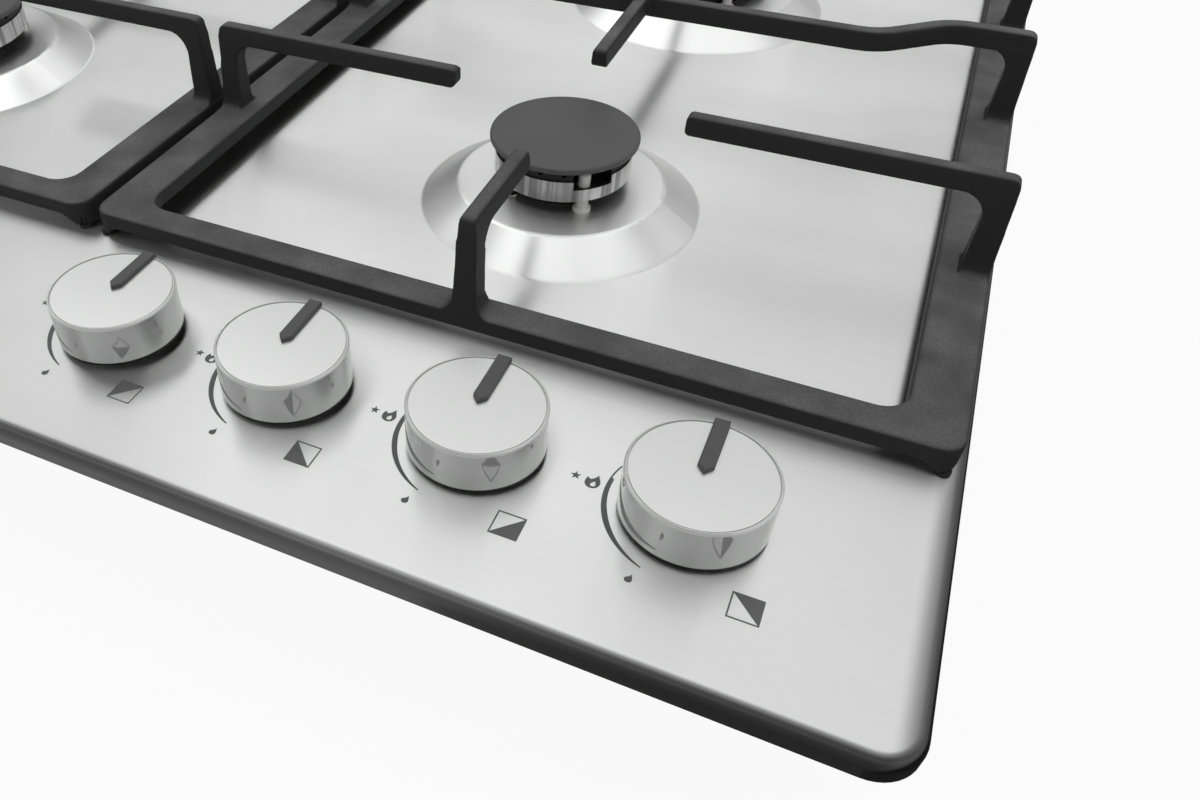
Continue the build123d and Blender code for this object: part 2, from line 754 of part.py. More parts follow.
def support_arms(frame_x, side):
    """Fingers with their legs round the two burners of one side, and the crossbar's legs."""
    half_width = grate_width / 2
    front_cap, rear_cap = [cap for _, burner_side, _, cap in burners if burner_side == side]
    reach = front_burner_setback - front_cap - tip_gap_front
    arms = [finger(reach).moved(Location((frame_x, grate_front, 0)))]
    reach = rear_burner_setback - rear_cap - tip_gap_front
    arms.append(finger(reach).moved(Location((frame_x, grate_rear, 0), (0, 0, 180))))
    side_arms = [
        (front_burner_y, half_width - front_cap - tip_gap_side),
        (rear_burner_y, half_width - rear_cap - tip_gap_side),
        (grate_mid_y, crossbar_leg_reach),
    ]
    for y, reach in side_arms:
        arm = finger(reach)
        arms.append(arm.moved(Location((frame_x - half_width, y, 0), (0, 0, -90))))
        arms.append(arm.moved(Location((frame_x + half_width, y, 0), (0, 0, 90))))
    front_length = crossbar_y - front_burner_y - front_cap - tip_gap_cross
    arms.append(plain_finger(front_length).moved(Location((frame_x, crossbar_y, 0), (0, 0, 180))))
    rear_length = rear_burner_y - crossbar_y - rear_cap - tip_gap_cross
    arms.append(plain_finger(rear_length).moved(Location((frame_x, crossbar_y, 0))))
    return arms


def pan_support(side):
    """One cast pan support over a front and a rear burner."""
    frame_x = side * burner_x
    with BuildPart() as outer_limit:
        with BuildSketch(Plane.XY.offset(pan_top)):
            with Locations((frame_x, grate_mid_y)):
                RectangleRounded(grate_width, grate_depth, frame_corner)
        extrude(amount=bar_top - pan_top)
    with BuildPart() as frame:
        with BuildSketch(Plane.XY.offset(bar_bottom)):
            with Locations((frame_x, grate_mid_y)):
                RectangleRounded(grate_width, grate_depth, frame_corner)
                RectangleRounded(grate_width - 2 * side_bar_width, grate_depth - 2 * bar_width,
                                 frame_inner_corner, mode=Mode.SUBTRACT)
        extrude(amount=bar_height)
        chamfer(frame.faces().sort_by(Axis.Z)[-1].edges(), frame_edge_chamfer)
        add([corner_foot(frame_x, *signs) for signs in corner_signs])
        add(outer_limit.part, mode=Mode.INTERSECT)
        add([support_crossbar(frame_x), *support_arms(frame_x, side)])
        for signs in corner_signs:
            with Locations((*pad_spot(frame_x, *signs), pan_top + pad_height)):
                Cylinder(pad_stem_radius + fit_gap, 2 * pad_stem, mode=Mode.SUBTRACT)
    return frame.part


def rubber_pad(x, y):
    """Pad under a foot with a stem pressed into it."""
    return turned(x, y, [
        (0, pan_top), (pad_radius, pan_top), (pad_radius, pan_top + pad_height),
        (pad_stem_radius, pan_top + pad_height), (pad_stem_radius, pan_top + pad_height + pad_stem),
        (0, pan_top + pad_height + pad_stem),
    ])


for side_name, side in (("left", -1), ("right", 1)):
    write(pan_support(side), f"pan_support_{side_name}")
    pads = [rubber_pad(*pad_spot(side * burner_x, *signs)) for signs in corner_signs]
    write(group(pads), f"support_pads_{side_name}")


# ---------------------------------------------------------------- knobs and taps
def knob(x):
    """Hollow knob with a raised rim ring, recessed face and a slot for the pointer."""
    base_z = pan_top + knob_clearance
    rim_z = pan_top + knob_top
    roof_z = rim_z - knob_roof
    hub_z = pan_top + knob_hub_gap
    shaft_top = roof_z - spindle_top_gap
    ring_edge = knob_face_radius - knob_rim
    face_edge = ring_edge - knob_groove
    inside = knob_base_radius - knob_wall
    with BuildPart() as body:
        add(turned(x, knob_y, [
            (0, hub_z), (knob_hub_radius, hub_z), (knob_hub_radius, roof_z), (inside, roof_z),
            (inside, base_z), (knob_base_radius, base_z), (knob_face_radius, rim_z - knob_edge_round),
            (knob_face_radius - knob_edge_round, rim_z), (ring_edge, rim_z),
            (ring_edge, rim_z - knob_groove_depth), (face_edge, rim_z - knob_groove_depth),
            (face_edge, rim_z - face_recess), (0, rim_z - face_recess),
        ]))
        with Locations((x, knob_y, (hub_z + shaft_top) / 2)):
            Cylinder(spindle_radius + fit_gap, shaft_top - hub_z, mode=Mode.SUBTRACT)
        # the flat in the bore that the spindle turns
        flat = spindle_radius + fit_gap - spindle_flat
        with BuildSketch(Plane.XY.offset(hub_z)):
            with Locations((x, knob_y)):
                Circle(spindle_radius + 2 * fit_gap)
                with Locations((0, flat - 2 * spindle_radius)):
                    Rectangle(4 * spindle_radius, 4 * spindle_radius, mode=Mode.SUBTRACT)
        extrude(amount=shaft_top - hub_z)
        with BuildSketch(Plane.XY.offset(rim_z - pointer_seat)):
            add(pointer_outline(x, slot_clearance, knob_wall))
        extrude(amount=2 * pointer_seat, mode=Mode.SUBTRACT)
    return body.part


def pointer_outline(x, grow, extra):
    """Arrow-ended bar from the knob's middle out over its rear edge, grown by a clearance."""
    half = pointer_width / 2 + grow
    end = knob_y + knob_face_radius + pointer_overhang + extra
    with BuildSketch(mode=Mode.PRIVATE) as outline:
        with BuildLine():
            Polyline(
                (x, knob_y - grow), (x + half, knob_y + pointer_tip), (x + half, end), (x - half, end),
                (x - half, knob_y + pointer_tip), close=True,
            )
        make_face()
    return outline.sketch


def pointer(x):
    """Dark bar set into the knob's face, folded down over its rim."""
    rim_z = pan_top + knob_top
    fold_y = knob_y + knob_face_radius + slot_clearance
    fold = pointer_overhang - slot_clearance
    with BuildPart() as bar:
        with BuildSketch(Plane.XY.offset(rim_z - pointer_seat)):
            add(pointer_outline(x, 0, 0))
        extrude(amount=pointer_seat + pointer_rise)
        chamfer(bar.faces().sort_by(Axis.Z)[-1].edges(), pointer_bevel)
        with Locations((x, fold_y + fold / 2, rim_z - (pointer_seat + pointer_lip) / 2)):
            Box(pointer_width, fold, pointer_lip)
    return bar.part


def tap(x):
    """Tap body with bonnet, plunger bore, rail nipple and outlet boss."""
    height = tap_top - tap_floor
    lid_z = tap_top + bonnet_height
    with BuildPart() as body:
        with Locations((x, knob_y + (tap_back - tap_front) / 2, tap_floor + height / 2)):
            Box(tap_width, tap_front + tap_back, height)
        fillet(body.edges().filter_by(Axis.Z), tap_round)
        with Locations((x, knob_y, tap_top + bonnet_height / 2)):
            Cylinder(bonnet_radius, bonnet_height)
        with Locations((x, knob_y + tap_back + outlet_length / 2, feed_level)):
            Cylinder(outlet_radius, outlet_length, rotation=(90, 0, 0))
        with Locations((x, knob_y + tap_back + nipple_length / 2, rail_level)):
            Cylinder(nipple_radius, nipple_length, rotation=(90, 0, 0))
        bore_top = lid_z - bonnet_lid
        with Locations((x, knob_y, (tap_bore_floor + bore_top) / 2)):
            Cylinder(tap_bore, bore_top - tap_bore_floor, mode=Mode.SUBTRACT)
        with Locations((x, knob_y, lid_z - bonnet_lid / 2)):
            Cylinder(spindle_radius + bearing_clearance, 2 * bonnet_lid, mode=Mode.SUBTRACT)
        with Locations((x, knob_y + tap_back, feed_level)):
            Cylinder(pipe_radius + fit_gap, 2 * outlet_length, rotation=(90, 0, 0), mode=Mode.SUBTRACT)
    return body.part


def spindle(x):
    """Round shaft from the plunger up into the knob, with a flat inside the knob."""
    shaft_top = pan_top + knob_top - knob_roof - spindle_top_gap - fit_gap
    flat_z = pan_top + knob_hub_gap
    foot_z = plunger_floor + plunger_height
    with BuildPart() as shaft:
        with Locations((x, knob_y, (foot_z + shaft_top) / 2)):
            Cylinder(spindle_radius, shaft_top - foot_z)
        with Locations((x, knob_y + spindle_radius, shaft_top)):
            Box(3 * spindle_radius, 2 * spindle_flat, 2 * (shaft_top - flat_z), mode=Mode.SUBTRACT)
    return shaft.part


def plunger(x):
    """Collar that the knob pushes down inside the tap; it slides and does not turn."""
    with BuildPart() as collar:
        with Locations((x, knob_y, plunger_floor + plunger_height / 2)):
            Cylinder(plunger_radius, plunger_height)
        chamfer(collar.edges(), plunger_chamfer)
    return collar.part


def grommet(x):
    """Rubber ring in the pan's hole, round a spindle."""
    top = pan_top + grommet_lip
    foot = pan_under - grommet_lip
    foot_radius = grommet_neck + grommet_hook
    return turned(x, knob_y, [
        (grommet_bore, foot), (foot_radius, foot), (foot_radius, pan_under), (grommet_neck, pan_under),
        (grommet_neck, pan_top), (grommet_radius, pan_top), (grommet_radius, top), (grommet_bore, top),
    ])


for x, name in zip(knob_xs, knob_burners):
    write(knob(x), f"knob_{name}")
    write(pointer(x), f"knob_pointer_{name}")
    write(spindle(x), f"tap_spindle_{name}")
    write(plunger(x), f"tap_plunger_{name}")
    write(tap(x), f"gas_tap_{name}")
write(group([grommet(x) for x in knob_xs]), "spindle_grommets")

# ---------------------------------------------------------------- gas rail and union
rail_start = knob_xs[0] - rail_overrun
union_start = tray_wall_y - union_inside
union_end = tray_wall_y + union_outside
rail_end = union_start + union_socket
rail_route = [(rail_start, rail_y, rail_level), (rail_x, rail_y, rail_level), (rail_x, rail_end, rail_level)]
with BuildPart() as gas_rail:
    add(tube_along(rail_route, rail_bend, rail_radius, rail_radius - rail_wall))
    with Locations((rail_start + rail_wall / 2, rail_y, rail_level)):
        Cylinder(rail_radius, rail_wall, rotation=(0, 90, 0))
    for x in knob_xs:
        with Locations((x, rail_y - rail_radius, rail_level)):
            Cylinder(nipple_radius + fit_gap, 2 * rail_radius, rotation=(90, 0, 0), mode=Mode.SUBTRACT)
write(gas_rail.part, "gas_rail")

with BuildPart() as union:
    with BuildSketch(Plane(origin=(rail_x, union_start, rail_level), x_dir=(1, 0, 0), z_dir=(0, 1, 0))):
        RegularPolygon(union_hex / 2, union_flats, major_radius=False)
    extrude(amount=union_hex_length)
    with Locations((rail_x, (union_start + union_end) / 2, rail_level)):
        Cylinder(union_neck_radius, union_end - union_start, rotation=(90, 0, 0))
    with Locations((rail_x, union_end - union_thread_length / 2, rail_level)):
        Cylinder(union_thread_radius, union_thread_length, rotation=(90, 0, 0))
    with Locations((rail_x, (union_start + union_end) / 2, rail_level)):
        Cylinder(union_bore, union_end - union_start, rotation=(90, 0, 0), mode=Mode.SUBTRACT)
    with Locations((rail_x, union_start, rail_level)):
        Cylinder(rail_radius + fit_gap, 2 * union_socket, rotation=(90, 0, 0), mode=Mode.SUBTRACT)
write(union.part, "inlet_union")

# ---------------------------------------------------------------- feed pipes
pipe_start = knob_y + tap_back


def feed_route(name, x):
    """Points of a feed pipe from the tap at x to its burner, seen from above."""
    side, burner_y = [(burner_side, y) for burner, burner_side, y, _ in burners if burner == name][0]
    target = side * burner_x
    turn_y = burner_y - rear_entry_run
    if name == "rear_left":
        lane = target - outer_run
        first_y = pipe_start + front_run
        bends = [(x, first_y), (lane, first_y), (lane, turn_y), (target, turn_y)]
    elif name == "front_left":
        bends = [(x, pipe_start + inner_run), (target, pipe_start + inner_run)]
    elif name == "front_right":
        half_shift = (x - target) / 2
        middle = pipe_start + inner_run
        bends = [(x, middle - half_shift), (target, middle + half_shift)]
    else:
        bends = [(x, turn_y), (target, turn_y)]
    return [(px, py, feed_level) for px, py in [(x, pipe_start), *bends, (target, burner_y - pipe_entry)]]


for x, name in zip(knob_xs, knob_burners):
    write(tube_along(feed_route(name, x), pipe_bend, pipe_radius, pipe_bore), f"feed_pipe_{name}")

# ---------------------------------------------------------------- electrics
generator_top = tray_sheet + generator_size[2]
with BuildPart() as generator:
    with Locations((*generator_at, tray_sheet + generator_size[2] / 2)):
        Box(*generator_size)
    fillet(generator.edges().filter_by(Axis.Z), generator_round)
    with Locations((*generator_at, generator_top + tower_height / 2)):
        with GridLocations(tower_pitch, 0, len(burners), 1):
            Cylinder(tower_radius, tower_height)
write(generator.part, "spark_generator")

with BuildPart() as terminal_block:
    with Locations((*terminal_at, tray_sheet + terminal_size[2] / 2)):
        Box(*terminal_size)
    with Locations((*terminal_at, tray_sheet + terminal_size[2])):
        with GridLocations(terminal_pitch, terminal_size[1] / 2, 3, 2):
            Cylinder(terminal_hole, 2 * terminal_hole_depth, mode=Mode.SUBTRACT)
write(terminal_block.part, "terminal_block")

gland_length = gland_inside + tray_sheet + gland_outside
with BuildPart() as gland:
    with Locations((gland_x, tray_wall_y + gland_outside - gland_length / 2, gland_level)):
        Cylinder(gland_radius, gland_length, rotation=(90, 0, 0))
    with Locations((gland_x, tray_wall_y + gland_collar / 2, gland_level)):
        Cylinder(gland_flange, gland_collar, rotation=(90, 0, 0))
    with Locations((gland_x, tray_wall_y - tray_sheet - gland_collar / 2, gland_level)):
        Cylinder(gland_flange, gland_collar, rotation=(90, 0, 0))
    with Locations((gland_x, tray_wall_y, gland_level)):
        Cylinder(gland_bore, 2 * gland_length, rotation=(90, 0, 0), mode=Mode.SUBTRACT)
write(gland.part, "cable_gland")

print("pan flat at", pan_top, "mm; finger tips at", grate_top, "mm")
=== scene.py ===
"""Gas hob: finishes, cast pan supports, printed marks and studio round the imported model."""

from math import pi, radians

import bmesh
import bpy
from bpy.props import FloatProperty, FloatVectorProperty, IntProperty, PointerProperty
from bpy.types import Operator, Panel, PropertyGroup
from mathutils import Euler, Matrix, Vector


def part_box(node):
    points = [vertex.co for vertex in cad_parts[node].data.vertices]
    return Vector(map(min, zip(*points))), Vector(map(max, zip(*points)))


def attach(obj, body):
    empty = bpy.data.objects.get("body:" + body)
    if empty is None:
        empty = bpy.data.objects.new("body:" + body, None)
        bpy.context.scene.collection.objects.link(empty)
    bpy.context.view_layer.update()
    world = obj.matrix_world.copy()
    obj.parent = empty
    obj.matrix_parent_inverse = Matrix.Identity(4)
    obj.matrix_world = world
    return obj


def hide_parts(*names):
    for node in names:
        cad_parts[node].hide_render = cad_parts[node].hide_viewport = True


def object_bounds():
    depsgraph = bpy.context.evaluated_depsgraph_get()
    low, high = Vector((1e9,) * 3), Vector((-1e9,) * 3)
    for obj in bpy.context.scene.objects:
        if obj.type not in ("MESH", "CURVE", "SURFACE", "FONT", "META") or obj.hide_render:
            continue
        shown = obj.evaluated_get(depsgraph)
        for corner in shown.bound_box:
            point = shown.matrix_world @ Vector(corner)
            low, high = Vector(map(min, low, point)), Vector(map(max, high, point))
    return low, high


bl_info = {
    "name": "Gas hob",
    "version": (1, 0, 0),
    "blender": (4, 5, 0),
    "location": "3D View > Sidebar > Hob",
    "description": "Dresses a four-burner gas hob and sets up its studio",
    "category": "Object",
}

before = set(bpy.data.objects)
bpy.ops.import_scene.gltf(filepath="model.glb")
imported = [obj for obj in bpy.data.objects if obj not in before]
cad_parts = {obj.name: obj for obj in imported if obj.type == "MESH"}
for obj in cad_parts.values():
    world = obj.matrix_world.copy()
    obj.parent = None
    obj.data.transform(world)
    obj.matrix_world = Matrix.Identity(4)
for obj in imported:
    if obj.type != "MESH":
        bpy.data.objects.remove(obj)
cad_low, cad_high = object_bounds()

MM = 0.001
BURNERS = ("rear_left", "front_left", "front_right", "rear_right")
SIDES = ("left", "right")
WHITE = (1.0, 1.0, 1.0, 1.0)

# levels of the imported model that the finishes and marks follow
PAN_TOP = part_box("spindle_grommets")[1].z - 1.0 * MM
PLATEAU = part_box("hob_pan")[1].z
RING_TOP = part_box("burner_head_front_right")[1].z - 3.7 * MM
KNOB_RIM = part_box("knob_front_right")[1].z
SIDE = cad_high.x
# width and height of the rolled edge
ROLL = 4.0 * MM
# height of the soft lights and the flag over the hob
OVERHEAD = 1.3


def hex_colour(code):
    """sRGB hex digits as a linear colour with alpha."""
    values = [int(code[i : i + 2], 16) / 255 for i in (0, 2, 4)]
    return (*[v / 12.92 if v <= 0.04045 else ((v + 0.055) / 1.055) ** 2.4 for v in values], 1.0)


def colour(code, name, description):
    """Colour property with a default given as sRGB hex digits."""
    return FloatVectorProperty(
        name=name,
        description=description,
        subtype="COLOR",
        size=4,
        min=0,
        max=1,
        default=hex_colour(code),
    )


def length(mm, name, description):
    """Length property with a default in millimetres."""
    return FloatProperty(
        name=name,
        description=description,
        subtype="DISTANCE",
        unit="LENGTH",
        default=mm * MM,
    )


# ------------------------------------------------------------------ settings
class PanSettings(PropertyGroup):
    steel: colour("eaebea", "Steel", "Brushed stainless steel, light lines")
    steel_dark: colour("e2e3e2", "Steel, dark lines", "Brushed stainless steel, dark lines")
    # the roll's dark band, its darker front right corner and its thin light line are painted shade and a
    # painted highlight; the side fade strip is painted shade too
    edge: colour("6a6a6a", "Rolled edge", "Dark band where the sheet rolls down")
    roll_corner_shade: colour("2a2a2a", "Rolled edge, corner", "Duller roll towards the front right corner")
    roll_painted_highlight: colour("9c9c9c", "Edge line", "Thin light line along the roll")
    side_shade_width: length(4.5, "Side fade", "Width of the dulled strip inside the side edges")
    line_pitch: length(0.4, "Brush line pitch", "Spacing of the brush lines")
    line_run: length(45, "Brush line length", "Length of the brush lines")


class IronSettings(PropertyGroup):
    enamel: colour("292929", "Enamel", "Matt black enamel on cast iron")
    # the worn enamel colour goes on upward faces: partly wear, partly painted light that makes tops lighter
    # than sides
    enamel_worn_and_lit: colour("747474", "Enamel, rubbed", "Enamel where pans rub it")
    grain: length(0.7, "Grain", "Width of the sandy grain")
    skin: length(0.65, "Casting skin", "Voxel of the cast surface")
    fettling: IntProperty(name="Fettling", description="Rounds of edge smoothing", default=1, min=0, max=20)
    detail: FloatProperty(name="Detail", description="Share of the faces kept", default=0.5, min=0.1, max=1)


class BurnerSettings(PropertyGroup):
    cap: colour("555555", "Cap", "Matt enamel of the burner caps")
    crown: colour("202020", "Crown", "Dark band with the flame ports")
    ring: colour("c4c4c4", "Ring", "Bright turned aluminium ring")
    # the ring's darker upright stripes are painted reflections
    ring_painted_reflection: colour("8c8c8c", "Ring, bars", "Darker upright bars in the bright ring")
    # the cups' dark grey is partly painted shade under the burner heads
    cup: colour("3a3a3a", "Cup", "Die-cast alloy of the burner cups")
    ceramic: colour("dad9d5", "Ceramic", "Glazed ceramic of the electrodes")


class KnobSettings(PropertyGroup):
    face: colour("d2d3d2", "Face", "Satin silver of the knob's face")
    rim: colour("dcdddc", "Rim", "Raised ring round the face")
    side: colour("c8c9c8", "Side", "Polished silver of the knob's side")
    groove: colour("d8d8d8", "Groove", "Thin line inside the rim")
    # the near-black inside colour is painted shade for the gap under the knob
    inside: colour("141414", "Inside", "Bare inside of the knob's skirt")
    pointer: colour("4b4b4c", "Pointer", "Dark grey pointer bar")


class MarkSettings(PropertyGroup):
    ink: colour("646465", "Ink", "Grey ceramic print")
    ink_height: length(0.05, "Ink height", "Thickness of the print")
    arc_radius: length(23.5, "Arc radius", "Outer edge of the flame arc")
    arc_width: length(1.6, "Arc width", "Widest part of the flame arc")
    square: length(8.0, "Square", "Side of the burner square")
    square_line: length(0.42, "Square line", "Line of the burner square")


class StudioSettings(PropertyGroup):
    floor: colour("f2f2f2", "Floor", "Plain pale floor")
    front_card: colour("707070", "Front card, left", "Grey card in front of the hob that metal mirrors")
    front_card_right: colour("383838", "Front card, right", "Dark card in front that metal mirrors")
    side_card: colour("202020", "Side card", "Dark card low at the rear left that metal mirrors")
    side_card_high: colour("b8b8b8", "Side card, upper", "Grey card above the side card")
    rear_card: colour("b1b1b1", "Rear card", "Grey card low at the rear that metal mirrors")
    rear_card_high: colour("d9d9d9", "Rear card, upper", "Pale card above the rear card")
    table_card: colour("505050", "Table card", "Dark card beside the hob that its rim mirrors")
    table_card_front: colour("6c6c6c", "Table card, front", "Grey card in front that the rim mirrors")
    left_flag: colour("484848", "Left flag", "Dark card above the left that metal mirrors")
    lens: FloatProperty(name="Lens", description="Focal length in millimetres", default=29.98, min=1)


# ------------------------------------------------------------------ materials
def add_node(material, kind, inputs=None, stops=None, **settings):
    """Node with its settings, its input values or links, and its colour stops."""
    made = material.node_tree.nodes.new(kind)
    for name, value in settings.items():
        setattr(made, name, value)
    for name, value in (inputs or {}).items():
        if isinstance(value, bpy.types.NodeSocket):
            material.node_tree.links.new(value, made.inputs[name])
        else:
            made.inputs[name].default_value = value
    for number, (place, shade) in enumerate(stops or ()):
        points = made.color_ramp.elements
        point = points[number] if number < len(points) else points.new(place)
        point.position, point.color = place, shade
    return made


def start_material(name, **values):
    """Material with a Principled shader and that shader's plain values."""
    material = bpy.data.materials.new(name)
    material.use_nodes = True
    shader = material.node_tree.nodes["Principled BSDF"]
    for socket, value in values.items():
        shader.inputs[socket.replace("_", " ")].default_value = value
    return material, shader


def link(material, source, shader, socket):
    """Joins an output to one of the shader's inputs."""
    material.node_tree.links.new(source, shader.inputs[socket])


def finish_nodes(material, *names):
    """Gives CAD nodes their material."""
    for name in names:
        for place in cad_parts[name].material_slots:
            place.material = material


def brushed_stainless(pan):
    """Brushed stainless steel sheet, pressed: fine lines along the front edge smear reflections
    from front to back, the drawn cones are smoother, and the roll has painted shade and a painted highlight
    line."""
    material, shader = start_material("Brushed stainless steel", Metallic=1.0)
    where = add_node(material, "ShaderNodeTexCoord").outputs["Object"]
    # real lines are about 0.1 mm apart; drawn coarser, or the render would not show them
    stretch = add_node(material, "ShaderNodeMapping", {
        "Vector": where, "Scale": (1 / pan.line_run, 1 / pan.line_pitch, 1 / pan.line_pitch),
    })
    lines = add_node(material, "ShaderNodeTexNoise", {
        "Vector": stretch.outputs[0], "Scale": 1.0, "Detail": 2.0, "Roughness": 0.55,
    })
    # hand marks and uneven polish, about 60 mm across
    clouds = add_node(material, "ShaderNodeTexNoise", {
        "Vector": where, "Scale": 1 / (60 * MM), "Detail": 3.0,
    })
    spot = add_node(material, "ShaderNodeSeparateXYZ", {0: where})
    height = spot.outputs["Z"]
    cone = add_node(material, "ShaderNodeMapRange", {
        "Value": height, "From Min": PAN_TOP + 0.1 * MM, "From Max": PAN_TOP + 0.6 * MM,
    })
    mixed = add_node(material, "ShaderNodeMix", {
        0: cone.outputs[0], 2: lines.outputs["Fac"], 3: clouds.outputs["Fac"],
    }, data_type="FLOAT")
    mixed = add_node(material, "ShaderNodeMath", {
        0: mixed.outputs[0], 1: clouds.outputs["Fac"],
    }, operation="ADD")
    shade = add_node(material, "ShaderNodeMapRange", {
        "Value": mixed.outputs[0], "From Min": 0.7, "From Max": 1.3,
    })
    steel = add_node(material, "ShaderNodeMix", {
        0: shade.outputs[0], 6: pan.steel_dark, 7: pan.steel,
    }, data_type="RGBA")
    # the roll, from the flat down: painted shade that darkens at once, with a thin painted highlight line on
    # the way
    drop = add_node(material, "ShaderNodeMapRange", {
        "Value": height, "From Min": PAN_TOP, "From Max": PAN_TOP - ROLL,
    })
    tone = add_node(material, "ShaderNodeValToRGB", {0: drop.outputs[0]}, stops=(
        (0.0, WHITE), (0.012, WHITE), (0.05, hex_colour("c0c0c0")), (0.14, hex_colour("8a8a8a")),
        (0.235, hex_colour("848484")), (0.27, pan.roll_painted_highlight), (0.32, hex_colour("808080")),
        (0.46, hex_colour("6c6c6c")), (1.0, pan.edge),
    ))
    rolled = add_node(material, "ShaderNodeMix", {
        0: 1.0, 6: steel.outputs[2], 7: tone.outputs[0],
    }, data_type="RGBA", blend_type="MULTIPLY")
    # painted shade: a strip inside the side edges, before the roll, darkens towards the roll's colour
    aside = add_node(material, "ShaderNodeMath", {0: spot.outputs["X"]}, operation="ABSOLUTE")
    fade = add_node(material, "ShaderNodeMapRange", {
        "Value": aside.outputs[0],
        "From Min": SIDE - ROLL - pan.side_shade_width,
        "From Max": SIDE - 3.0 * MM,
        "To Max": 0.8,
    }, interpolation_type="SMOOTHSTEP")
    side_shaded = add_node(material, "ShaderNodeMix", {
        0: fade.outputs[0], 6: rolled.outputs[2], 7: pan.edge,
    }, data_type="RGBA")
    # painted shade: the roll darkens further towards the front right corner
    corner_shade = add_node(material, "ShaderNodeMapRange", {
        "Value": spot.outputs["X"], "From Min": 0.15, "From Max": 0.25, "To Max": 0.5,
    }, interpolation_type="SMOOTHSTEP")
    bend = add_node(material, "ShaderNodeMapRange", {
        "Value": height, "From Min": PAN_TOP - 0.03 * MM, "From Max": PAN_TOP - 0.6 * MM,
    })
    corner_shade = add_node(material, "ShaderNodeMath", {
        0: corner_shade.outputs[0], 1: bend.outputs[0],
    }, operation="MULTIPLY")
    shade_painted = add_node(material, "ShaderNodeMix", {
        0: corner_shade.outputs[0], 6: side_shaded.outputs[2], 7: pan.roll_corner_shade,
    }, data_type="RGBA")
    link(material, shade_painted.outputs[2], shader, "Base Color")
    gloss = add_node(material, "ShaderNodeMapRange", {
        "Value": lines.outputs["Fac"], "To Min": 0.34, "To Max": 0.42,
    })
    # the cones are smoother than the flat, and their tops a little rougher than their sides
    plateau = add_node(material, "ShaderNodeMapRange", {
        "Value": height,
        "From Min": PLATEAU - 0.5 * MM,
        "From Max": PLATEAU - 0.05 * MM,
        "To Min": 0.36,
        "To Max": 0.41,
    })
    smoother = add_node(material, "ShaderNodeMix", {
        0: cone.outputs[0], 2: gloss.outputs[0], 3: plateau.outputs[0],
    }, data_type="FLOAT")
    link(material, smoother.outputs[0], shader, "Roughness")
    grip = add_node(material, "ShaderNodeMapRange", {
        "Value": cone.outputs[0], "To Min": 1.0, "To Max": 0.6,
    })
    link(material, grip.outputs[0], shader, "Anisotropic")
    # the blur runs across the lines, from front to back
    across = add_node(material, "ShaderNodeCombineXYZ", {"Y": 1.0})
    link(material, across.outputs[0], shader, "Tangent")
    flat_lines = add_node(material, "ShaderNodeMapRange", {
        "Value": cone.outputs[0], "To Min": 0.08, "To Max": 0.0,
    })
    relief = add_node(material, "ShaderNodeBump", {
        "Height": lines.outputs["Fac"], "Strength": flat_lines.outputs[0], "Distance": 0.02 * MM,
    })
    link(material, relief.outputs[0], shader, "Normal")
    return material


def enamelled_iron(iron):
    """Cast iron under matt black enamel: sandy grain, soft sheen, tops greyer from rub wear and painted
    light.
    """
    material, shader = start_material("Enamelled cast iron", Specular_IOR_Level=0.22)
    where = add_node(material, "ShaderNodeTexCoord").outputs["Object"]
    grain = add_node(material, "ShaderNodeTexNoise", {
        "Vector": where, "Scale": 1 / iron.grain, "Detail": 4.0, "Roughness": 0.6,
    })
    # the greyer tops, partly rub wear and partly painted light, are uneven in patches about 18 mm across
    waves = add_node(material, "ShaderNodeTexNoise", {
        "Vector": where, "Scale": 1 / (18 * MM), "Detail": 2.0,
    })
    up = add_node(material, "ShaderNodeSeparateXYZ", {
        0: add_node(material, "ShaderNodeNewGeometry").outputs["Normal"],
    })
    # upward faces get the lighter colour: partly wear from pans, partly painted light on the tops
    rubbed_and_lit = add_node(material, "ShaderNodeMapRange", {
        "Value": up.outputs["Z"], "From Min": 0.6, "From Max": 1.0, "To Max": 1.4,
    })
    speckle = add_node(material, "ShaderNodeMapRange", {
        "Value": grain.outputs["Fac"], "From Min": 0.38, "From Max": 0.62, "To Min": 0.65, "To Max": 1.0,
    })
    patchy = add_node(material, "ShaderNodeMath", {
        0: rubbed_and_lit.outputs[0], 1: waves.outputs["Fac"],
    }, operation="MULTIPLY")
    patchy = add_node(material, "ShaderNodeMath", {
        0: patchy.outputs[0], 1: speckle.outputs[0],
    }, operation="MULTIPLY", use_clamp=True)
    tint = add_node(material, "ShaderNodeMix", {
        0: patchy.outputs[0], 6: iron.enamel, 7: iron.enamel_worn_and_lit,
    }, data_type="RGBA")
    link(material, tint.outputs[2], shader, "Base Color")
    gloss = add_node(material, "ShaderNodeMapRange", {
        "Value": grain.outputs["Fac"], "To Min": 0.5, "To Max": 0.72,
    })
    link(material, gloss.outputs[0], shader, "Roughness")
    relief = add_node(material, "ShaderNodeBump", {
        "Height": grain.outputs["Fac"], "Strength": 0.8, "Distance": 0.14 * MM,
    })
    link(material, relief.outputs[0], shader, "Normal")
    return material


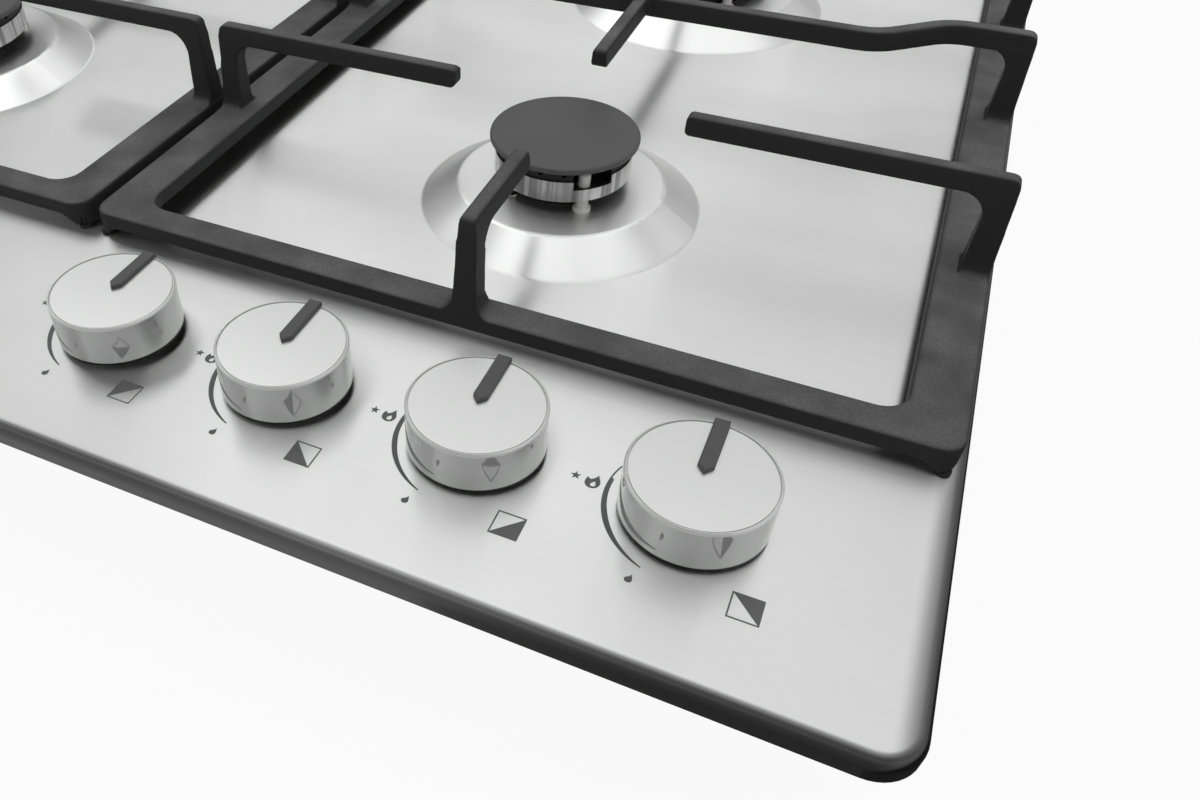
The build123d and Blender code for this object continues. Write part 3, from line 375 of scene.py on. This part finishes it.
def matt_enamel(burner):
    """Matt vitreous enamel on the pressed cap: even dark grey with a fine peel and soft sheen."""
    material, shader = start_material("Matt vitreous enamel", Specular_IOR_Level=0.3)
    where = add_node(material, "ShaderNodeTexCoord").outputs["Object"]
    peel = add_node(material, "ShaderNodeTexNoise", {
        "Vector": where, "Scale": 1 / (0.9 * MM), "Detail": 3.0,
    })
    # a faint cloud in the colour and gloss, about 20 mm across
    haze = add_node(material, "ShaderNodeTexNoise", {
        "Vector": where, "Scale": 1 / (20 * MM), "Detail": 3.0,
    })
    pale = tuple(1.3 * part for part in burner.cap[:3]) + (1.0,)
    tint = add_node(material, "ShaderNodeMix", {
        0: haze.outputs["Fac"], 6: burner.cap, 7: pale,
    }, data_type="RGBA")
    link(material, tint.outputs[2], shader, "Base Color")
    gloss = add_node(material, "ShaderNodeMapRange", {
        "Value": haze.outputs["Fac"], "To Min": 0.42, "To Max": 0.55,
    })
    link(material, gloss.outputs[0], shader, "Roughness")
    relief = add_node(material, "ShaderNodeBump", {
        "Height": peel.outputs["Fac"], "Strength": 0.3, "Distance": 0.05 * MM,
    })
    link(material, relief.outputs[0], shader, "Normal")
    return material


def centred_radius(material, where, name):
    """Distance from the upright axis of a round node."""
    low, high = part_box(name)
    centred = add_node(material, "ShaderNodeMapping", {
        "Vector": where, "Location": (-(low.x + high.x) / 2, -(low.y + high.y) / 2, 0.0),
    })
    flat = add_node(material, "ShaderNodeVectorMath", {
        0: centred.outputs[0], 1: (1, 1, 0),
    }, operation="MULTIPLY")
    return add_node(material, "ShaderNodeVectorMath", {
        0: flat.outputs[0],
    }, operation="LENGTH").outputs["Value"]


def burner_alloy(burner, name):
    """Aluminium burner head: a bright turned ring with painted reflections as darker upright stripes, that
    smears reflections up and down, and a crown and inside in dark grey."""
    material, shader = start_material(f"Turned aluminium head {name}")
    node = f"burner_head_{name}"
    where = add_node(material, "ShaderNodeTexCoord").outputs["Object"]
    height = add_node(material, "ShaderNodeSeparateXYZ", {0: where}).outputs["Z"]
    # turning lines go round the ring, 0.3 mm apart so that they show
    stretch = add_node(material, "ShaderNodeMapping", {
        "Vector": where, "Scale": (1 / (50 * MM), 1 / (50 * MM), 1 / (0.3 * MM)),
    })
    turning = add_node(material, "ShaderNodeTexNoise", {
        "Vector": stretch.outputs[0], "Scale": 1.0, "Detail": 2.0,
    })
    low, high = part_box(node)
    skin = (high.x - low.x) / 2 - 0.3 * MM
    outside = add_node(material, "ShaderNodeMapRange", {
        "Value": centred_radius(material, where, node), "From Min": skin, "From Max": skin + 0.02 * MM,
    })
    below = add_node(material, "ShaderNodeMapRange", {
        "Value": height, "From Min": RING_TOP + 0.02 * MM, "From Max": RING_TOP - 0.02 * MM,
    })
    ring = add_node(material, "ShaderNodeMath", {
        0: outside.outputs[0], 1: below.outputs[0],
    }, operation="MULTIPLY")
    # painted reflection: what stands round the burner is painted into the ring as darker upright stripes, a
    # millimetre or two wide
    upright_only = add_node(material, "ShaderNodeMapping", {
        "Vector": where, "Scale": (1 / (2 * MM), 1 / (2 * MM), 1 / (125 * MM)),
    })
    painted_reflection_bars = add_node(material, "ShaderNodeTexNoise", {
        "Vector": upright_only.outputs[0], "Scale": 1.0, "Detail": 1.0,
    })
    painted_reflection_bars = add_node(material, "ShaderNodeMapRange", {
        "Value": painted_reflection_bars.outputs["Fac"], "From Min": 0.38, "From Max": 0.52, "To Min": 0.0, "To Max": 1.0,
    })
    alloy = add_node(material, "ShaderNodeMix", {
        0: painted_reflection_bars.outputs[0], 6: burner.ring_painted_reflection, 7: burner.ring,
    }, data_type="RGBA")
    tint = add_node(material, "ShaderNodeMix", {
        0: ring.outputs[0], 6: burner.crown, 7: alloy.outputs[2],
    }, data_type="RGBA")
    link(material, tint.outputs[2], shader, "Base Color")
    metal = add_node(material, "ShaderNodeMapRange", {
        "Value": ring.outputs[0], "To Min": 0.3, "To Max": 1.0,
    })
    link(material, metal.outputs[0], shader, "Metallic")
    turned_gloss = add_node(material, "ShaderNodeMapRange", {
        "Value": turning.outputs["Fac"], "To Min": 0.1, "To Max": 0.18,
    })
    gloss = add_node(material, "ShaderNodeMix", {
        0: ring.outputs[0], 2: 0.5, 3: turned_gloss.outputs[0],
    }, data_type="FLOAT")
    link(material, gloss.outputs[0], shader, "Roughness")
    smear = add_node(material, "ShaderNodeMapRange", {
        "Value": ring.outputs[0], "To Min": 0.0, "To Max": 0.9,
    })
    link(material, smear.outputs[0], shader, "Anisotropic")
    upright = add_node(material, "ShaderNodeCombineXYZ", {"Z": 1.0})
    link(material, upright.outputs[0], shader, "Tangent")
    return material


def plain_finish(name, shade, roughness, metallic=0.0, grain=1.0, depth=0.03, spread=0.15):
    """Finish with a fine grain: its own name says what it is, and the grain and relief sizes are in mm."""
    material, shader = start_material(name, Metallic=metallic)
    where = add_node(material, "ShaderNodeTexCoord").outputs["Object"]
    fine = add_node(material, "ShaderNodeTexNoise", {
        "Vector": where, "Scale": 1 / (grain * MM), "Detail": 3.0,
    })
    low = tuple((1 - spread) * part for part in shade[:3]) + (1.0,)
    tint = add_node(material, "ShaderNodeMix", {
        0: fine.outputs["Fac"], 6: low, 7: shade,
    }, data_type="RGBA")
    link(material, tint.outputs[2], shader, "Base Color")
    gloss = add_node(material, "ShaderNodeMapRange", {
        "Value": fine.outputs["Fac"], "To Min": 0.8 * roughness, "To Max": 1.2 * roughness,
    })
    link(material, gloss.outputs[0], shader, "Roughness")
    relief = add_node(material, "ShaderNodeBump", {
        "Height": fine.outputs["Fac"], "Strength": 0.3, "Distance": depth * MM,
    })
    link(material, relief.outputs[0], shader, "Normal")
    return material


def satin_silver(knob, burner):
    """Silver plated knob: satin face, pale rim ring behind a thin dark groove, and a polished
    side that mirrors the marks faintly. The zones are rings round the knob's own axis."""
    material, shader = start_material(f"Satin silver plate {burner}")
    where = add_node(material, "ShaderNodeTexCoord").outputs["Object"]
    radius = centred_radius(material, where, f"knob_{burner}")
    height = add_node(material, "ShaderNodeSeparateXYZ", {0: where}).outputs["Z"]
    stretch = add_node(material, "ShaderNodeMapping", {
        "Vector": where, "Scale": (1 / (20 * MM), 1 / (0.3 * MM), 1 / (0.3 * MM)),
    })
    lines = add_node(material, "ShaderNodeTexNoise", {
        "Vector": stretch.outputs[0], "Scale": 1.0, "Detail": 2.0,
    })
    # each zone starts between two radii, or between two depths under the rim; below the lowest depth,
    # mostly the inside of the skirt, the knob is painted near black as shade, so the gap under the knob
    # stays dark
    rim, groove, wall, skirt = (
        add_node(material, "ShaderNodeMapRange", {"Value": value, "From Min": start, "From Max": full})
        for value, start, full in (
            (radius, 18.88 * MM, 18.92 * MM),
            (radius, 18.4 * MM, 18.5 * MM),
            (height, KNOB_RIM - 0.8 * MM, KNOB_RIM - 1.1 * MM),
            (height, KNOB_RIM - 13.1 * MM, KNOB_RIM - 13.3 * MM),
        )
    )
    tint = add_node(material, "ShaderNodeMix", {
        0: groove.outputs[0], 6: knob.face, 7: knob.groove,
    }, data_type="RGBA")
    for mask, shade in ((rim, knob.rim), (wall, knob.side), (skirt, knob.inside)):
        tint = add_node(material, "ShaderNodeMix", {
            0: mask.outputs[0], 6: tint.outputs[2], 7: shade,
        }, data_type="RGBA")
    link(material, tint.outputs[2], shader, "Base Color")
    pale = add_node(material, "ShaderNodeMapRange", {
        "Value": groove.outputs[0], "To Min": 0.8, "To Max": 0.25,
    })
    metal = add_node(material, "ShaderNodeMix", {
        0: wall.outputs[0], 2: pale.outputs[0], 3: 0.6,
    }, data_type="FLOAT")
    link(material, metal.outputs[0], shader, "Metallic")
    satin = add_node(material, "ShaderNodeMapRange", {
        "Value": lines.outputs["Fac"], "To Min": 0.3, "To Max": 0.4,
    })
    gloss = add_node(material, "ShaderNodeMix", {
        0: wall.outputs[0], 2: satin.outputs[0], 3: 0.06,
    }, data_type="FLOAT")
    link(material, gloss.outputs[0], shader, "Roughness")
    calm = add_node(material, "ShaderNodeMapRange", {
        "Value": rim.outputs[0], "To Min": 0.12, "To Max": 0.0,
    })
    relief = add_node(material, "ShaderNodeBump", {
        "Height": lines.outputs["Fac"], "Strength": calm.outputs[0], "Distance": 0.02 * MM,
    })
    link(material, relief.outputs[0], shader, "Normal")
    return material


# ------------------------------------------------------------------ shapes
def new_piece(name, shape, material, body):
    """Piece from a bmesh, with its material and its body."""
    mesh = bpy.data.meshes.new(name)
    shape.to_mesh(mesh)
    shape.free()
    piece = bpy.data.objects.new(name, mesh)
    bpy.context.scene.collection.objects.link(piece)
    mesh.materials.append(material)
    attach(piece, body)


def place(shape, verts, x, y, z, turn=0.0):
    """Moves new vertices to their place, turned about the vertical."""
    move = Matrix.Translation((x, y, z)) @ Matrix.Rotation(turn, 4, "Z")
    bmesh.ops.transform(shape, matrix=move, verts=verts)


def add_arc(shape, x, y, z, marks):
    """Flame arc: a thin line that steps to its full width and tapers to a point."""
    start, step, widest, end = radians(158), radians(171), radians(203), radians(252)
    # shares of the full width, and the power of the taper's curve
    thin, stepped, loss, taper = 0.28, 0.78, 0.78, 1.6
    count = 60
    inner = shape.verts.new((marks.arc_radius - marks.arc_width, 0, 0))
    outer = shape.verts.new((marks.arc_radius, 0, 0))
    edge = shape.edges.new((inner, outer))
    bmesh.ops.rotate(shape, matrix=Matrix.Rotation(start, 3, "Z"), verts=[inner, outer])
    before = set(shape.verts) - {inner, outer}
    bmesh.ops.spin(shape, geom=[edge], axis=(0, 0, 1), cent=(0, 0, 0), angle=end - start, steps=count)
    band = [v for v in shape.verts if v not in before]
    for v in band:
        if v.co.length < marks.arc_radius - 0.5 * marks.arc_width:
            angle = Vector((1, 0)).angle_signed(Vector((v.co.x, v.co.y)), 0.0)
            angle = -angle % (2 * pi)
            if angle < step:
                width = thin
            elif angle < widest:
                width = stepped + (1.0 - stepped) * (angle - step) / (widest - step)
            else:
                width = 1.0 - loss * ((angle - widest) / (end - widest)) ** taper
            v.co = v.co.normalized() * (marks.arc_radius - marks.arc_width * width)
    place(shape, band, x, y, z)


def add_star(shape, x, y, z, radius):
    """Five-pointed star, the sign of the spark."""
    notch = 0.42
    ring = bmesh.ops.create_circle(shape, cap_ends=True, radius=radius, segments=10)["verts"]
    for v in ring[1::2]:
        v.co *= notch
    place(shape, ring, x, y, z, radians(8))


def add_flame(shape, x, y, z, outline, hollow=None):
    """Flat flame from curve handles, with an optional hollow."""
    curve = bpy.data.curves.new("flame", "CURVE")
    curve.dimensions, curve.fill_mode, curve.resolution_u = "2D", "BOTH", 8
    for loop in filter(None, (outline, hollow)):
        spline = curve.splines.new("BEZIER")
        spline.bezier_points.add(len(loop) - 1)
        spline.use_cyclic_u = True
        for point, (co, left, right) in zip(spline.bezier_points, loop):
            point.co = (*(MM * c for c in co), 0)
            point.handle_left = (*(MM * c for c in left), 0)
            point.handle_right = (*(MM * c for c in right), 0)
    drawn = bpy.data.objects.new("flame", curve)
    flat = bpy.data.meshes.new_from_object(drawn)
    before = set(shape.verts)
    shape.from_mesh(flat)
    verts = [v for v in shape.verts if v not in before]
    bmesh.ops.remove_doubles(shape, verts=verts, dist=0.001 * MM)
    place(shape, [v for v in shape.verts if v not in before], x, y, z)
    bpy.data.objects.remove(drawn)
    bpy.data.curves.remove(curve)
    bpy.data.meshes.remove(flat)


def add_square(shape, x, y, z, marks, corner):
    """Square outline with the corner of its own burner filled."""
    half = marks.square / 2
    before = set(shape.faces)
    verts = bmesh.ops.create_grid(shape, x_segments=1, y_segments=1, size=half)["verts"]
    face = [f for f in shape.faces if f not in before]
    bmesh.ops.inset_region(
        shape, faces=face, thickness=marks.square_line, use_boundary=True, use_even_offset=True
    )
    inner = face[0]
    along = Vector((corner[0], corner[1], 0))
    cut = bmesh.ops.bisect_plane(
        shape, geom=[inner, *inner.edges, *inner.verts], dist=1e-7, plane_co=(0, 0, 0), plane_no=along
    )
    halves = {f for part in cut["geom_cut"] if isinstance(part, bmesh.types.BMEdge) for f in part.link_faces}
    empty = [f for f in halves if f.calc_center_median().dot(along) < 0]
    bmesh.ops.delete(shape, geom=empty, context="FACES_ONLY")
    new = {v for f in shape.faces if f not in before for v in f.verts}
    place(shape, list(new), x, y, z)


# flame outlines in mm: point, left handle, right handle
LARGE_FLAME = (
    ((0.9, 2.7), (0.6, 1.9), (0.9, 2.1)),
    ((2.1, -0.4), (2.1, 0.6), (2.1, -1.6)),
    ((0.0, -2.6), (1.2, -2.6), (-1.3, -2.6)),
    ((-2.1, -0.5), (-2.1, -1.7), (-2.1, 0.2)),
    ((-1.7, 1.2), (-1.9, 0.7), (-1.2, 0.6)),
    ((-0.4, 0.7), (-0.8, 0.3), (0.3, 1.3)),
)
FLAME_HOLLOW = (
    ((0.5, 0.1), (0.3, -0.3), (0.7, -0.3)),
    ((1.0, -1.2), (1.0, -0.8), (1.0, -1.7)),
    ((0.3, -1.9), (0.7, -1.9), (-0.2, -1.9)),
    ((-0.4, -1.2), (-0.4, -1.6), (-0.4, -0.7)),
)
SMALL_FLAME = (
    ((0.5, 1.5), (0.3, 1.0), (0.5, 1.0)),
    ((1.0, -0.3), (1.0, 0.2), (1.0, -0.9)),
    ((0.0, -1.3), (0.6, -1.3), (-0.6, -1.3)),
    ((-1.0, -0.3), (-1.0, -0.9), (-1.0, 0.2)),
    ((-0.2, 0.5), (-0.6, 0.2), (0.1, 0.8)),
)
# the filled corner of each square, seen from above with the front edge towards the user
CORNERS = {"rear_left": (-1, 1), "front_left": (-1, -1), "front_right": (1, -1), "rear_right": (1, 1)}
# places of the marks in mm from the knob's axis, to the right and to the back
STAR_AT = (-31.9, 0.5)
FLAME_AT = (-27.0, 0.3)
SMALL_FLAME_AT = (-8.9, -26.5)
SQUARE_AT = (19.0, -23.5)
STAR_RADIUS = 1.5


def add_marks(burner, marks, ink):
    """All printed marks round one knob."""
    low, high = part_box(f"knob_{burner}")
    x, y = (low.x + high.x) / 2, (low.y + high.y) / 2

    def beside(offset):
        return x + offset[0] * MM, y + offset[1] * MM, PAN_TOP

    shape = bmesh.new()
    add_arc(shape, x, y, PAN_TOP, marks)
    add_star(shape, *beside(STAR_AT), STAR_RADIUS * MM)
    add_flame(shape, *beside(FLAME_AT), LARGE_FLAME, FLAME_HOLLOW)
    add_flame(shape, *beside(SMALL_FLAME_AT), SMALL_FLAME)
    add_square(shape, *beside(SQUARE_AT), marks, CORNERS[burner])
    # all faces point up before they get their thickness
    shape.normal_update()
    for face in shape.faces:
        if face.normal.z < 0:
            face.normal_flip()
    shape.normal_update()
    bmesh.ops.solidify(shape, geom=shape.faces[:], thickness=-marks.ink_height)
    bmesh.ops.recalc_face_normals(shape, faces=shape.faces)
    new_piece(f"printed_marks_{burner}", shape, ink, "hob")


def add_cast_support(side, iron, material):
    """Pan support with a cast skin: rounded edges and slightly uneven faces."""
    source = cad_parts[f"pan_support_{side}"]
    shape = bmesh.new()
    shape.from_mesh(source.data)
    bmesh.ops.remove_doubles(shape, verts=shape.verts, dist=0.001 * MM)
    rough = bpy.data.meshes.new("casting")
    shape.to_mesh(rough)
    shape.free()
    blank = bpy.data.objects.new("casting", rough)
    bpy.context.scene.collection.objects.link(blank)
    skin = blank.modifiers.new("Casting skin", "REMESH")
    skin.mode, skin.voxel_size, skin.use_smooth_shade = "VOXEL", iron.skin, True
    fettle = blank.modifiers.new("Fettling", "SMOOTH")
    fettle.factor, fettle.iterations = 0.5, iron.fettling
    thin = blank.modifiers.new("Fewer faces", "DECIMATE")
    thin.ratio = iron.detail
    cast = bpy.data.meshes.new_from_object(blank.evaluated_get(bpy.context.evaluated_depsgraph_get()))
    bpy.data.objects.remove(blank)
    bpy.data.meshes.remove(rough)
    piece = bpy.data.objects.new(f"cast_support_{side}", cast)
    bpy.context.scene.collection.objects.link(piece)
    cast.materials.clear()
    cast.materials.append(material)
    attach(piece, f"support_{side}")
    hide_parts(f"pan_support_{side}")


# ------------------------------------------------------------------ studio
def add_card(name, corners, material):
    """Flat stage card through four corners."""
    shape = bmesh.new()
    shape.faces.new([shape.verts.new(corner) for corner in corners])
    mesh = bpy.data.meshes.new(name)
    shape.to_mesh(mesh)
    shape.free()
    card = bpy.data.objects.new(name, mesh)
    mesh.materials.append(material)
    bpy.context.scene.collection.objects.link(card)
    return card


def add_mirror_card(name, shade, level, corners):
    """Card that only metal sees: a dark or grey screen beside the set, or a bright one above."""
    card = bpy.data.materials.new(name)
    card.use_nodes = True
    glow = add_node(card, "ShaderNodeEmission", {"Color": shade, "Strength": level})
    card.node_tree.links.new(glow.outputs[0], card.node_tree.nodes["Material Output"].inputs["Surface"])
    screen = add_card(name, corners, card)
    screen.visible_camera = screen.visible_diffuse = screen.visible_shadow = False


def upright(start, end, rise):
    """Corners of an upright card over the line from start to end."""
    return start, end, (*end[:2], end[2] + rise), (*start[:2], start[2] + rise)


def level_card(low, high, z):
    """Corners of a level card over the rectangle from low to high."""
    return (*low, z), (high[0], low[1], z), (*high, z), (low[0], high[1], z)


def add_lamp(name, stand, aim, size, level):
    """Square soft light whose face has the given brightness, and that metal doesn't mirror."""
    lamp = bpy.data.lights.new(name, "AREA")
    lamp.size, lamp.energy = size, level * pi * size * size
    holder = bpy.data.objects.new(name, lamp)
    turn = (Vector(aim) - Vector(stand)).to_track_quat("-Z", "Y")
    holder.matrix_world = Matrix.Translation(stand) @ turn.to_matrix().to_4x4()
    bpy.context.scene.collection.objects.link(holder)
    holder.visible_glossy = False


def backdrop_rays(material):
    """1 for camera, glossy and transmission rays, which see the pale backdrop, and 0 for others."""
    path = add_node(material, "ShaderNodeLightPath")
    seen = path.outputs["Is Camera Ray"]
    for kind in ("Is Glossy Ray", "Is Transmission Ray"):
        either = add_node(material, "ShaderNodeMath", {
            0: seen, 1: path.outputs[kind],
        }, operation="MAXIMUM")
        seen = either.outputs[0]
    return seen


# ------------------------------------------------------------------ operators
class HOB_OT_pan(Operator):
    """Brushed steel finish on the hob top"""

    bl_idname = "hob.pan"
    bl_label = "Hob top"

    def execute(self, context):
        finish_nodes(brushed_stainless(context.scene.hob_pan), "hob_pan")
        return {"FINISHED"}


class HOB_OT_supports(Operator):
    """Cast-iron pan supports and their rubber feet"""

    bl_idname = "hob.supports"
    bl_label = "Pan supports"

    def execute(self, context):
        iron = context.scene.hob_iron
        material = enamelled_iron(iron)
        finish_nodes(material, *(f"pan_support_{side}" for side in SIDES))
        for side in SIDES:
            add_cast_support(side, iron, material)
        # dull black with hardly a highlight
        rubber = plain_finish("Moulded rubber", hex_colour("1c1c1c"), 0.7, grain=0.6)
        finish_nodes(rubber, *(f"support_pads_{side}" for side in SIDES), "spindle_grommets", "worktop_seal")
        return {"FINISHED"}


class HOB_OT_burners(Operator):
    """Caps, heads, cups, electrodes and sensors of the burners"""

    bl_idname = "hob.burners"
    bl_label = "Burners"

    def execute(self, context):
        burner = context.scene.hob_burner
        finish_nodes(matt_enamel(burner), *(f"burner_cap_{name}" for name in BURNERS))
        for name in BURNERS:
            finish_nodes(burner_alloy(burner, name), f"burner_head_{name}")
        # dark grey, half metallic, with an uneven casting skin; the dark grey is partly painted shade for
        # the gap under the head
        cup = plain_finish("Die-cast alloy", burner.cup, 0.55, metallic=0.6, grain=1.5)
        finish_nodes(cup, *(f"burner_cup_{name}" for name in BURNERS))
        # off-white and smooth, with a small clear highlight
        ceramic = plain_finish("Glazed ceramic", burner.ceramic, 0.25, grain=2.0, spread=0.05)
        finish_nodes(ceramic, *(f"spark_electrode_{name}" for name in BURNERS))
        # clean and shiny, so that screw heads and sensors glint
        steel = plain_finish("Bright steel", hex_colour("bdbdbb"), 0.25, metallic=1.0)
        finish_nodes(steel, "thermocouples", "burner_screws", "clamp_screws")
        # yellow metal with a soft shine
        brass = plain_finish("Turned brass", hex_colour("b9a06a"), 0.3, metallic=1.0)
        finish_nodes(brass, "injectors", "inlet_union")
        return {"FINISHED"}


class HOB_OT_knobs(Operator):
    """Knobs, pointers and spindles"""

    bl_idname = "hob.knobs"
    bl_label = "Knobs"

    def execute(self, context):
        knob = context.scene.hob_knob
        for name in BURNERS:
            finish_nodes(satin_silver(knob, name), f"knob_{name}")
        # even dark grey paint, half dull
        bar = plain_finish("Painted pointer", knob.pointer, 0.5, grain=0.5, spread=0.1)
        finish_nodes(bar, *(f"knob_pointer_{name}" for name in BURNERS))
        # grey metal, a little duller than the screws
        steel = plain_finish("Drawn steel", hex_colour("a8a8a6"), 0.35, metallic=1.0)
        finish_nodes(steel, *(f"tap_spindle_{name}" for name in BURNERS))
        finish_nodes(steel, *(f"tap_plunger_{name}" for name in BURNERS))
        return {"FINISHED"}


class HOB_OT_gas_parts(Operator):
    """Taps, pipes, rail, tray and electrical parts below the hob top"""

    bl_idname = "hob.gas_parts"
    bl_label = "Parts below"

    def execute(self, context):
        # bluish grey with spangles about 9 mm wide
        sheet = hex_colour("a9adaf")
        zinc = plain_finish("Zinc-coated sheet", sheet, 0.4, metallic=1.0, grain=9.0, spread=0.3)
        finish_nodes(zinc, "under_tray", "worktop_clamps", "gas_rail")
        # darker and duller than turned brass
        tap = plain_finish("Pressed brass tap", hex_colour("a79668"), 0.4, metallic=1.0)
        finish_nodes(tap, *(f"gas_tap_{name}" for name in BURNERS))
        # pale grey metal with a broad shine
        pipe = plain_finish("Aluminium tube", hex_colour("c2c3c3"), 0.35, metallic=1.0)
        finish_nodes(pipe, *(f"feed_pipe_{name}" for name in BURNERS))
        # near black with a broad soft highlight
        black = plain_finish("Moulded black plastic", hex_colour("1e1e1f"), 0.45, grain=0.8)
        finish_nodes(black, "spark_generator", "cable_gland")
        # warm white, half matt
        white = plain_finish("Moulded white plastic", hex_colour("d9d8d3"), 0.4, grain=0.8, spread=0.06)
        finish_nodes(white, "terminal_block")
        return {"FINISHED"}


class HOB_OT_marks(Operator):
    """Printed flame arcs, flames, stars and burner squares beside the knobs"""

    bl_idname = "hob.marks"
    bl_label = "Printed marks"

    def execute(self, context):
        marks = context.scene.hob_marks
        # grey ink fired on the steel: flat and even
        ink = plain_finish("Ceramic print", marks.ink, 0.55, grain=0.4, spread=0.2)
        for name in BURNERS:
            add_marks(name, marks, ink)
        return {"FINISHED"}


class HOB_OT_studio(Operator):
    """Floor, lights, sky and camera"""

    bl_idname = "hob.studio"
    bl_label = "Studio"

    def execute(self, context):
        studio = context.scene.hob_studio
        scene = context.scene
        scene.view_settings.view_transform = "Standard"

        # the floor keeps the hob's shadow in the share that isn't glow
        glow_share, reach, floor_level = 0.93, 6.0, -0.2 * MM
        pale = bpy.data.materials.new("Pale floor")
        pale.use_nodes = True
        paper = add_node(pale, "ShaderNodeBsdfDiffuse", {"Color": studio.floor})
        glow = add_node(pale, "ShaderNodeEmission", {"Color": WHITE, "Strength": 1.0})
        share = add_node(pale, "ShaderNodeMath", {
            0: backdrop_rays(pale), 1: glow_share,
        }, operation="MULTIPLY")
        mix = add_node(pale, "ShaderNodeMixShader", {
            0: share.outputs[0], 1: paper.outputs[0], 2: glow.outputs[0],
        })
        output = pale.node_tree.nodes["Material Output"]
        pale.node_tree.links.new(mix.outputs[0], output.inputs["Surface"])
        add_card("floor", level_card((-reach, -reach), (reach, reach), floor_level), pale)

        # the sky is white where it is seen, and lights the hob at a plainer level
        sky_light, sky_seen = 0.55, 1.0
        world = bpy.data.worlds.new("Studio")
        world.use_nodes = True
        scene.world = world
        sky = world.node_tree.nodes["Background"]
        sky.inputs["Color"].default_value = WHITE
        level = add_node(world, "ShaderNodeMapRange", {
            "Value": backdrop_rays(world), "To Min": sky_light, "To Max": sky_seen,
        })
        world.node_tree.links.new(level.outputs[0], sky.inputs["Strength"])

        aim = (0.1, 0.0, 0.05)
        add_lamp("key light", (0.5, 0.7, 1.0), aim, 0.9, 0.7)
        add_lamp("fill light", (-0.8, -0.5, 0.9), aim, 0.7, 0.4)

        # grey cards at full level: upright ones from start to end, and level ones from low to high
        for name, shade, start, end, rise in (
            ("front card left", studio.front_card, (-1.6, -1.2, 0.3), (-0.2, -1.2, 0.3), 1.6),
            ("front card right", studio.front_card_right, (-0.2, -1.2, 0.3), (1.8, -1.2, 0.3), 1.6),
            ("side card low", studio.side_card, (-2.2, 0.3, 0.0), (-0.8, 2.6, 0.0), 0.6),
            ("side card high", studio.side_card_high, (-2.2, 0.3, 0.6), (-0.8, 2.6, 0.6), 1.2),
            ("rear card low", studio.rear_card, (-0.7, 2.2, 0.0), (2.0, 2.2, 0.0), 1.0),
            ("rear card high", studio.rear_card_high, (-0.7, 2.2, 1.0), (2.0, 2.2, 1.0), 1.2),
        ):
            add_mirror_card(name, shade, 1.0, upright(start, end, rise))
        for name, shade, low, high, z in (
            ("table card right", studio.table_card, (0.295, -0.8), (0.9, 0.4), 0.001),
            ("table card front", studio.table_card_front, (0.16, -0.8), (0.295, -0.26), 0.001),
            ("left flag", studio.left_flag, (-1.5, -0.8), (-0.6, 0.0), OVERHEAD),
        ):
            add_mirror_card(name, shade, 1.0, level_card(low, high, z))
        # white soft lights overhead, which metal alone sees: name, level, low corner, high corner
        for name, level, low, high in (
            ("soft light left", 2.2, (-1.5, 0.0), (-0.6, 0.9)),
            ("soft light front", 1.6, (-0.6, -0.8), (0.1, 0.0)),
            ("soft light middle", 1.45, (-0.6, 0.0), (0.1, 0.9)),
            ("soft light right", 1.4, (0.1, 0.0), (0.9, 0.9)),
            ("soft light near", 1.7, (0.1, -0.55), (0.4, -0.25)),
        ):
            add_mirror_card(name, WHITE, level, level_card(low, high, OVERHEAD))

        # the camera that the photograph was taken with, as far as it can be worked out
        stand = (0.23927, -0.37861, 0.25022)
        turn = Euler((radians(45.016), radians(1.318), radians(25.85)), "XYZ")
        camera = bpy.data.cameras.new("camera")
        camera.sensor_width = 36.0
        camera.lens = studio.lens
        camera.shift_x, camera.shift_y = 0.1539, 0.0218
        camera.clip_start = 0.01
        eye = bpy.data.objects.new("camera", camera)
        eye.matrix_world = Matrix.Translation(stand) @ turn.to_matrix().to_4x4()
        scene.collection.objects.link(eye)
        scene.camera = eye
        return {"FINISHED"}


STEPS = (
    HOB_OT_pan,
    HOB_OT_supports,
    HOB_OT_burners,
    HOB_OT_knobs,
    HOB_OT_gas_parts,
    HOB_OT_marks,
    HOB_OT_studio,
)


class HOB_PT_panel(Panel):
    """Steps that dress the hob, and their sizes and colours"""

    bl_idname = "HOB_PT_panel"
    bl_label = "Gas hob"
    bl_space_type = "VIEW_3D"
    bl_region_type = "UI"
    bl_category = "Hob"

    def draw(self, context):
        for step in STEPS:
            self.layout.operator(step.bl_idname)
        for group, settings in SETTINGS.items():
            box = self.layout.box()
            for setting in settings.__annotations__:
                box.prop(getattr(context.scene, group), setting)


SETTINGS = {
    "hob_pan": PanSettings,
    "hob_iron": IronSettings,
    "hob_burner": BurnerSettings,
    "hob_knob": KnobSettings,
    "hob_marks": MarkSettings,
    "hob_studio": StudioSettings,
}


def register():
    """Makes the settings, steps and panel known to Blender."""
    for cls in (*SETTINGS.values(), *STEPS, HOB_PT_panel):
        bpy.utils.register_class(cls)
    for name, cls in SETTINGS.items():
        setattr(bpy.types.Scene, name, PointerProperty(type=cls))


def unregister():
    """Takes the settings, steps and panel away again."""
    for name in SETTINGS:
        delattr(bpy.types.Scene, name)
    for cls in reversed((*SETTINGS.values(), *STEPS, HOB_PT_panel)):
        bpy.utils.unregister_class(cls)


def main():
    """Dresses the hob."""
    register()
    for step in STEPS:
        getattr(bpy.ops.hob, step.bl_idname.split(".")[1])()


if __name__ == "__main__":
    main()
